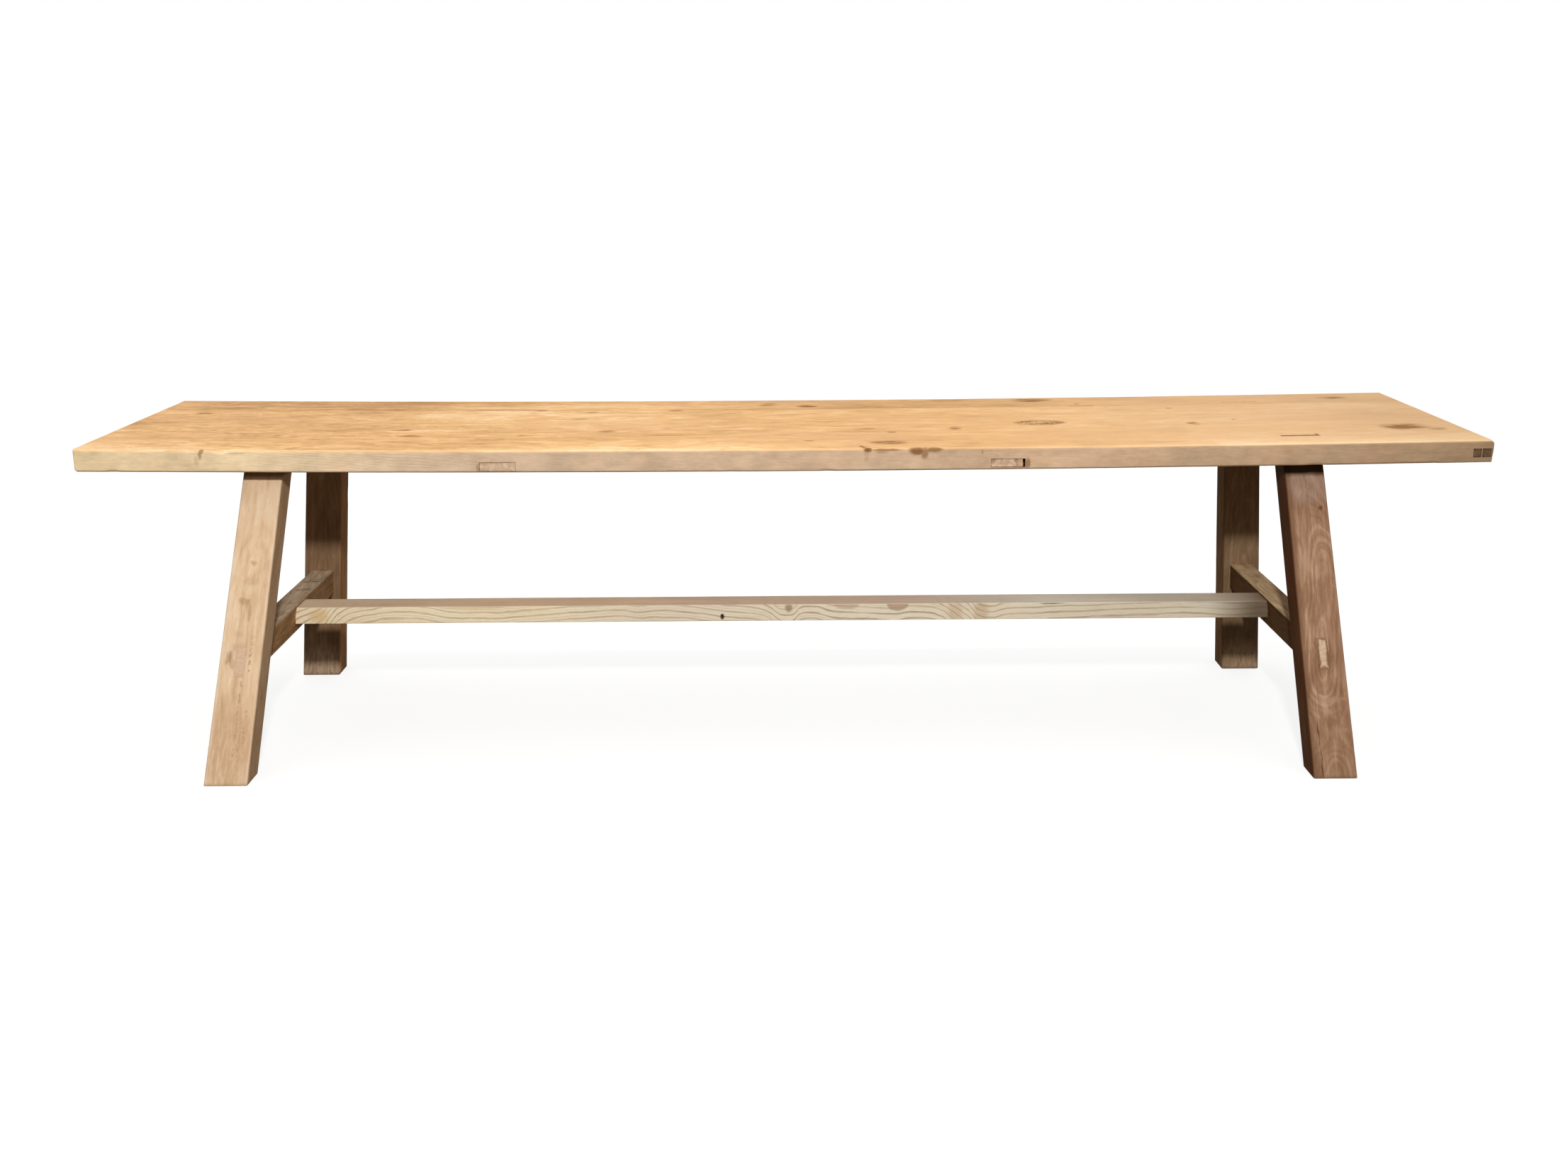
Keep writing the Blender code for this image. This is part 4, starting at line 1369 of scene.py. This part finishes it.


# In a leg's look, the worn value paints a highlight on the arrises, the inner factor paints shade on the face
# towards the middle (light on the back left leg), the darkening by that arris is partly dirt and partly
# painted shade, and the band just under the seat is painted shade
BACK_LEG = {
    "spacing": 0.005, "wander": 0.012, "sharp": 1.5, "lines": -0.14, "mottle": 0.65, "part": 1,
    "worn": 0.15, "grime_and_shade": 0.2, "seat_shade": 0.3, "reach": 0.016, "bulges": (), "columns": (),
    "end_colour": (0.66, 0.4, 0.19),
}
LEG_LOOKS = {
    # The heart's rows are height and shift. The others are x from the leg's line, height, half x,
    # half height, strength and, in tints, a colour.
    ("front", "left"): {
        "seed": 11, "colours": ((0.47, 0.295, 0.165), (0.76, 0.545, 0.35), (0.88, 0.71, 0.52)),
        "heart_u": ((0, 12), (80, 6), (170, -4), (250, 2), (330, 4), (440, 0)),
        "heart_v": (
            (0, 2), (100, 3), (190, 4), (240, 7), (275, 14), (300, 18), (340, 30), (440, 40),
        ),
        "spacing": 0.0085, "wander": 0.016, "sharp": 1.3, "lines": -0.14, "mottle": 0.8, "part": 0.9,
        "worn": 0.5, "grime_and_shade": 0.1, "inner": (0.82, 0.76, 0.7), "seat_shade": 0.85, "reach": 0.016,
        "bulges": ((2.4, 290, 3.5, 4, 0.3), (-15.5, 170, 4.5, 8, 1)),
        "tints": (
            (2, 269, 11, 5, 0.5, (0.53, 0.34, 0.19)), (-2, 258, 10, 5, 0.4, (0.8, 0.61, 0.43)),
            (-5, 243, 6.5, 4.5, 0.8, (0.46, 0.29, 0.155)), (1.5, 238, 3, 8, 0.8, (0.46, 0.29, 0.155)),
            (4.8, 226, 2.6, 9, 0.7, (0.49, 0.31, 0.165)), (-10, 226, 3, 6, 0.4, (0.84, 0.68, 0.51)),
            (-7, 200, 6, 4.5, 0.55, (0.5, 0.33, 0.195)), (-4, 184, 8, 6, 0.55, (0.52, 0.34, 0.21)),
            (-16, 169, 5.5, 8, 0.85, (0.4, 0.25, 0.14)), (-10, 160, 4, 6, 0.6, (0.47, 0.3, 0.175)),
            (0, 172, 11, 27, 0.45, (0.68, 0.47, 0.325)), (2, 292, 3.4, 3.4, 0.65, (0.46, 0.29, 0.155)),
            # The pale tint high on the right of this face is a painted sheen
            (8.5, 398, 2, 11, 0.45, (0.5, 0.34, 0.21)), (15, 372, 7, 30, 0.35, (0.86, 0.68, 0.49)),
            (0, 50, 32, 60, 0.75, (0.57, 0.355, 0.213)),
        ),
        "columns": (
            (12.5, 174, 1.6, 34, 0.8), (16, 200, 1.2, 20, 0.55), (5, 117, 1.6, 28, 0.75),
            (16.5, 80, 1.6, 26, 0.75), (5, 72, 1.4, 44, 0.7), (10.5, 60, 1.3, 36, 0.55),
        ),
        "end_colour": (0.7, 0.43, 0.21),
    },
    ("front", "right"): {
        "seed": 17, "colours": ((0.17, 0.086, 0.046), (0.33, 0.186, 0.112), (0.51, 0.33, 0.22)),
        "heart_u": (
            (0, 1), (60, 4), (120, -4), (170, 0), (210, 6), (265, 18), (320, 12), (380, -4), (440, -10),
        ),
        "heart_v": (
            (0, 6), (30, 20), (65, 34), (100, 20), (135, 6), (170, 3), (210, 5), (250, 12), (280, 10),
            (330, 22), (380, 36), (440, 48),
        ),
        "spacing": 0.0064, "wander": 0.016, "sharp": 1.8, "lines": 0.25, "mottle": 1.1, "part": 1.1,
        "worn": 0.25, "grime_and_shade": 0.95, "inner": (0.55, 0.42, 0.3), "seat_shade": 0.92, "reach": 0.0225,
        "bulges": ((4, 262, 8, 18, 0.6), (3, 17, 4.5, 6, 0.5)),
        "tints": (
            (-3, 388, 26, 26, 0.65, (0.435, 0.31, 0.245)),
            (16.5, 355, 2.8, 2.6, 0.9, (0.15, 0.06, 0.03)),
            (18, 402, 4.5, 5.5, 0.75, (0.14, 0.08, 0.05)), (10, 196, 10, 13, 0.35, (0.42, 0.25, 0.165)),
            (-9.5, 172, 2.4, 13, 0.75, (0.17, 0.085, 0.045)),
            (9.5, 162, 2.4, 11, 0.75, (0.17, 0.085, 0.045)), (1, 147, 7.5, 2, 0.6, (0.19, 0.1, 0.052)),
            (-1, 75, 12, 7, 0.6, (0.195, 0.112, 0.062)), (15, 64, 8, 3, 0.7, (0.47, 0.315, 0.2)),
            (-2, 60, 7, 3.5, 0.55, (0.45, 0.29, 0.19)), (3, 17, 4.2, 5.5, 0.6, (0.22, 0.095, 0.045)),
            (6, 105, 18, 3.5, 0.45, (0.47, 0.305, 0.2)), (0, 40, 32, 45, 0.55, (0.25, 0.138, 0.074)),
            (-16.8, 56, 0.9, 23, 0.9, (0.085, 0.034, 0.018)),
            (-15.8, 17, 1, 19, 0.9, (0.085, 0.034, 0.018)),
        ),
        "columns": (), "end_colour": (0.71, 0.46, 0.255),
    },
    ("back", "left"): {
        **BACK_LEG,
        "seed": 23, "colours": ((0.145, 0.086, 0.046), (0.315, 0.192, 0.108), (0.5, 0.345, 0.22)),
        "heart_u": ((0, 10), (200, 0), (440, -6)), "heart_v": ((0, 4), (150, 8), (300, 20), (440, 40)),
        # The back left leg's inner factor is painted light, and its pale tint at the foot is painted light
        # too
        "inner": (1.5, 1.25, 0.95), "tints": ((0, 8, 50, 38, 0.95, (0.7, 0.5, 0.335)),),
    },
    ("back", "right"): {
        **BACK_LEG,
        "seed": 29, "colours": ((0.13, 0.08, 0.043), (0.265, 0.166, 0.092), (0.43, 0.295, 0.18)),
        "heart_u": ((0, -10), (200, 4), (440, 8)), "heart_v": ((0, 4), (150, 10), (300, 24), (440, 42)),
        # The back right leg's inner factor is painted shade, and its pale tint at the foot is painted light
        "inner": (0.85, 0.74, 0.56), "tints": ((0, 8, 50, 38, 0.95, (0.55, 0.385, 0.235)),),
    },
}
RAIL_LOOKS = {
    "left": {
        "seed": 37, "colours": ((0.2, 0.135, 0.085), (0.52, 0.38, 0.25), (0.8, 0.62, 0.45)),
        "sides": (0.9, 0.7, 0.5), "end_colour": (0.7, 0.5, 0.345), "end_rim": (0.66, 0.455, 0.3),
        "end_contrast": 0.5, "end_middle": 0, "end_half": 0.005,
        "spots": (
            (0, -100, 10, 10, 0.6, (0.085, 0.052, 0.032)), (6, -70, 6, 16, 0.4, (0.12, 0.08, 0.052)),
            (2, 60, 13, 6, 0.45, (0.12, 0.08, 0.052)), (0, 105, 20, 1.6, 0.85, (0.06, 0.036, 0.022)),
            (0, 172, 7, 2.5, 0.9, (0.04, 0.024, 0.015)),
        ),
    },
    "right": {
        "seed": 43, "colours": ((0.28, 0.18, 0.095), (0.6, 0.42, 0.245), (0.8, 0.6, 0.4)),
        "sides": (0.24, 0.18, 0.12), "end_colour": (0.62, 0.445, 0.32), "end_rim": (0.3, 0.165, 0.095),
        "end_contrast": 0.9, "end_middle": 0.0004, "end_half": 0.0034,
        "spots": (
            (0, 172, 7, 2.5, 0.9, (0.04, 0.024, 0.015)), (-3, 70, 8, 10, 0.3, (0.15, 0.1, 0.06)),
        ),
    },
}


def make_legs():
    """Make the four legs, with a mortise for the rail in each."""
    for key, leg in LEGS.items():
        row, side = key
        look = LEG_LOOKS[key]
        piece = loft(f"leg_wood_{row}_{side}", leg_rings(leg, look["seed"]), LEG_SPLITS)
        tilt_crown(piece, leg)
        carve(piece, [rail_mortise(leg, RAILS[side])])
        finish_piece(piece, f"leg_{row}_{side}", leg_wood(f"leg_elm_{row}_{side}", key, look))


def make_underframe():
    """Make the two rails and the stretcher between them."""
    for side, look in RAIL_LOOKS.items():
        piece = make_rail(side, look["seed"])
        carve(piece, [stretcher_mortise(side)])
        finish_piece(piece, f"rail_{side}", rail_wood(f"rail_elm_{side}", side, look))
    piece = make_stretcher(STRETCHER_SEED)
    carve(piece, [nail_hole()])
    finish_piece(piece, "stretcher", stretcher_wood(STRETCHER_SEED))


def dress_loose_tenons():
    """Give the hidden loose tenons their sawn wood."""
    material = hidden_wood("tenon_elm", TENON_SEED)
    for name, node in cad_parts.items():
        if name.startswith("seat_loose_tenon"):
            node.data.materials.clear()
            node.data.materials.append(material)


# Stage


def seen_directly(g):
    """Give 1 for rays that show the background itself: from the camera, a gloss or a glass."""
    camera = g.node("LightPath", output="Is Camera Ray")
    return camera.above(camera.other("Is Glossy Ray").above(camera.other("Is Transmission Ray")))


def make_world():
    """Light the scene from an even sky that is brighter overhead, and show plain white behind."""
    world = bpy.data.worlds.new("studio")
    bpy.context.scene.world = world
    world.use_nodes = True
    g = Graph(world.node_tree)
    height = g.split(g.node("TexCoord", output="Generated"))[2]
    strength = height.above(0).calc("POWER", SKY_RISE).span(0, 1, SKY_LOW, SKY_HIGH, smooth=False)
    sky = g.node("Background", {"Color": SKY_COLOUR, "Strength": strength})
    white = g.node("Background", {"Color": WHITE})
    choose = g.node("MixShader", (seen_directly(g), sky, white))
    g.node("OutputWorld", {"Surface": choose})


def make_floor():
    """Make a white floor that keeps a pale shadow of the bench."""
    form = bmesh.new()
    bmesh.ops.create_grid(form, x_segments=1, y_segments=1, size=FLOOR_REACH)
    floor = linked("floor", mesh_from("floor", form))
    floor.location.z = -TINY
    material = bpy.data.materials.new("floor_white")
    material.use_nodes = True
    g = Graph(material.node_tree)
    bounce = g.node("BsdfDiffuse", {"Color": FLOOR_BOUNCE})
    shade = g.node("BsdfDiffuse", {"Color": (FLOOR_SHADE, FLOOR_SHADE, FLOOR_SHADE)})
    both = g.node("AddShader", (shade, g.node("Emission", {"Strength": FLOOR_GLOW})))
    choose = g.node("MixShader", (seen_directly(g), bounce, both))
    g.node("OutputMaterial", {"Surface": choose})
    floor.data.materials.append(material)


def make_key_light():
    """Add the one soft lamp, in front of the bench and a little above the camera."""
    lamp = bpy.data.lights.new("key", "AREA")
    lamp.shape = "DISK"
    lamp.size = KEY_SIZE
    lamp.energy = KEY_POWER
    lamp.color = KEY_COLOUR
    key = linked("key", lamp)
    key.location = KEY_PLACE
    key.rotation_euler = (Vector(KEY_AIM) - Vector(KEY_PLACE)).to_track_quat("-Z", "Y").to_euler()


def make_camera():
    """Set the camera where the photograph was taken."""
    level = Vector((math.cos(CAMERA_YAW), -math.sin(CAMERA_YAW), 0))
    forward = Vector((math.sin(CAMERA_YAW), math.cos(CAMERA_YAW), 0))
    ahead = forward * math.cos(CAMERA_PITCH) - Vector((0, 0, math.sin(CAMERA_PITCH)))
    above = level.cross(ahead)
    right = level * math.cos(CAMERA_ROLL) + above * math.sin(CAMERA_ROLL)
    up = above * math.cos(CAMERA_ROLL) - level * math.sin(CAMERA_ROLL)
    lens = bpy.data.cameras.new("camera")
    lens.sensor_fit = "HORIZONTAL"
    lens.sensor_width = SENSOR
    lens.lens = SENSOR * FOCAL_PIXELS / PHOTO_WIDTH
    camera = linked("camera", lens)
    turn = Matrix((right, up, -ahead)).transposed().to_4x4()
    camera.matrix_world = Matrix.Translation(CAMERA_PLACE) @ turn
    bpy.context.scene.camera = camera


make_camera()
make_key_light()
make_world()
make_floor()
make_seat()
make_legs()
make_underframe()
dress_loose_tenons()
bpy.context.scene.view_settings.view_transform = "Standard"
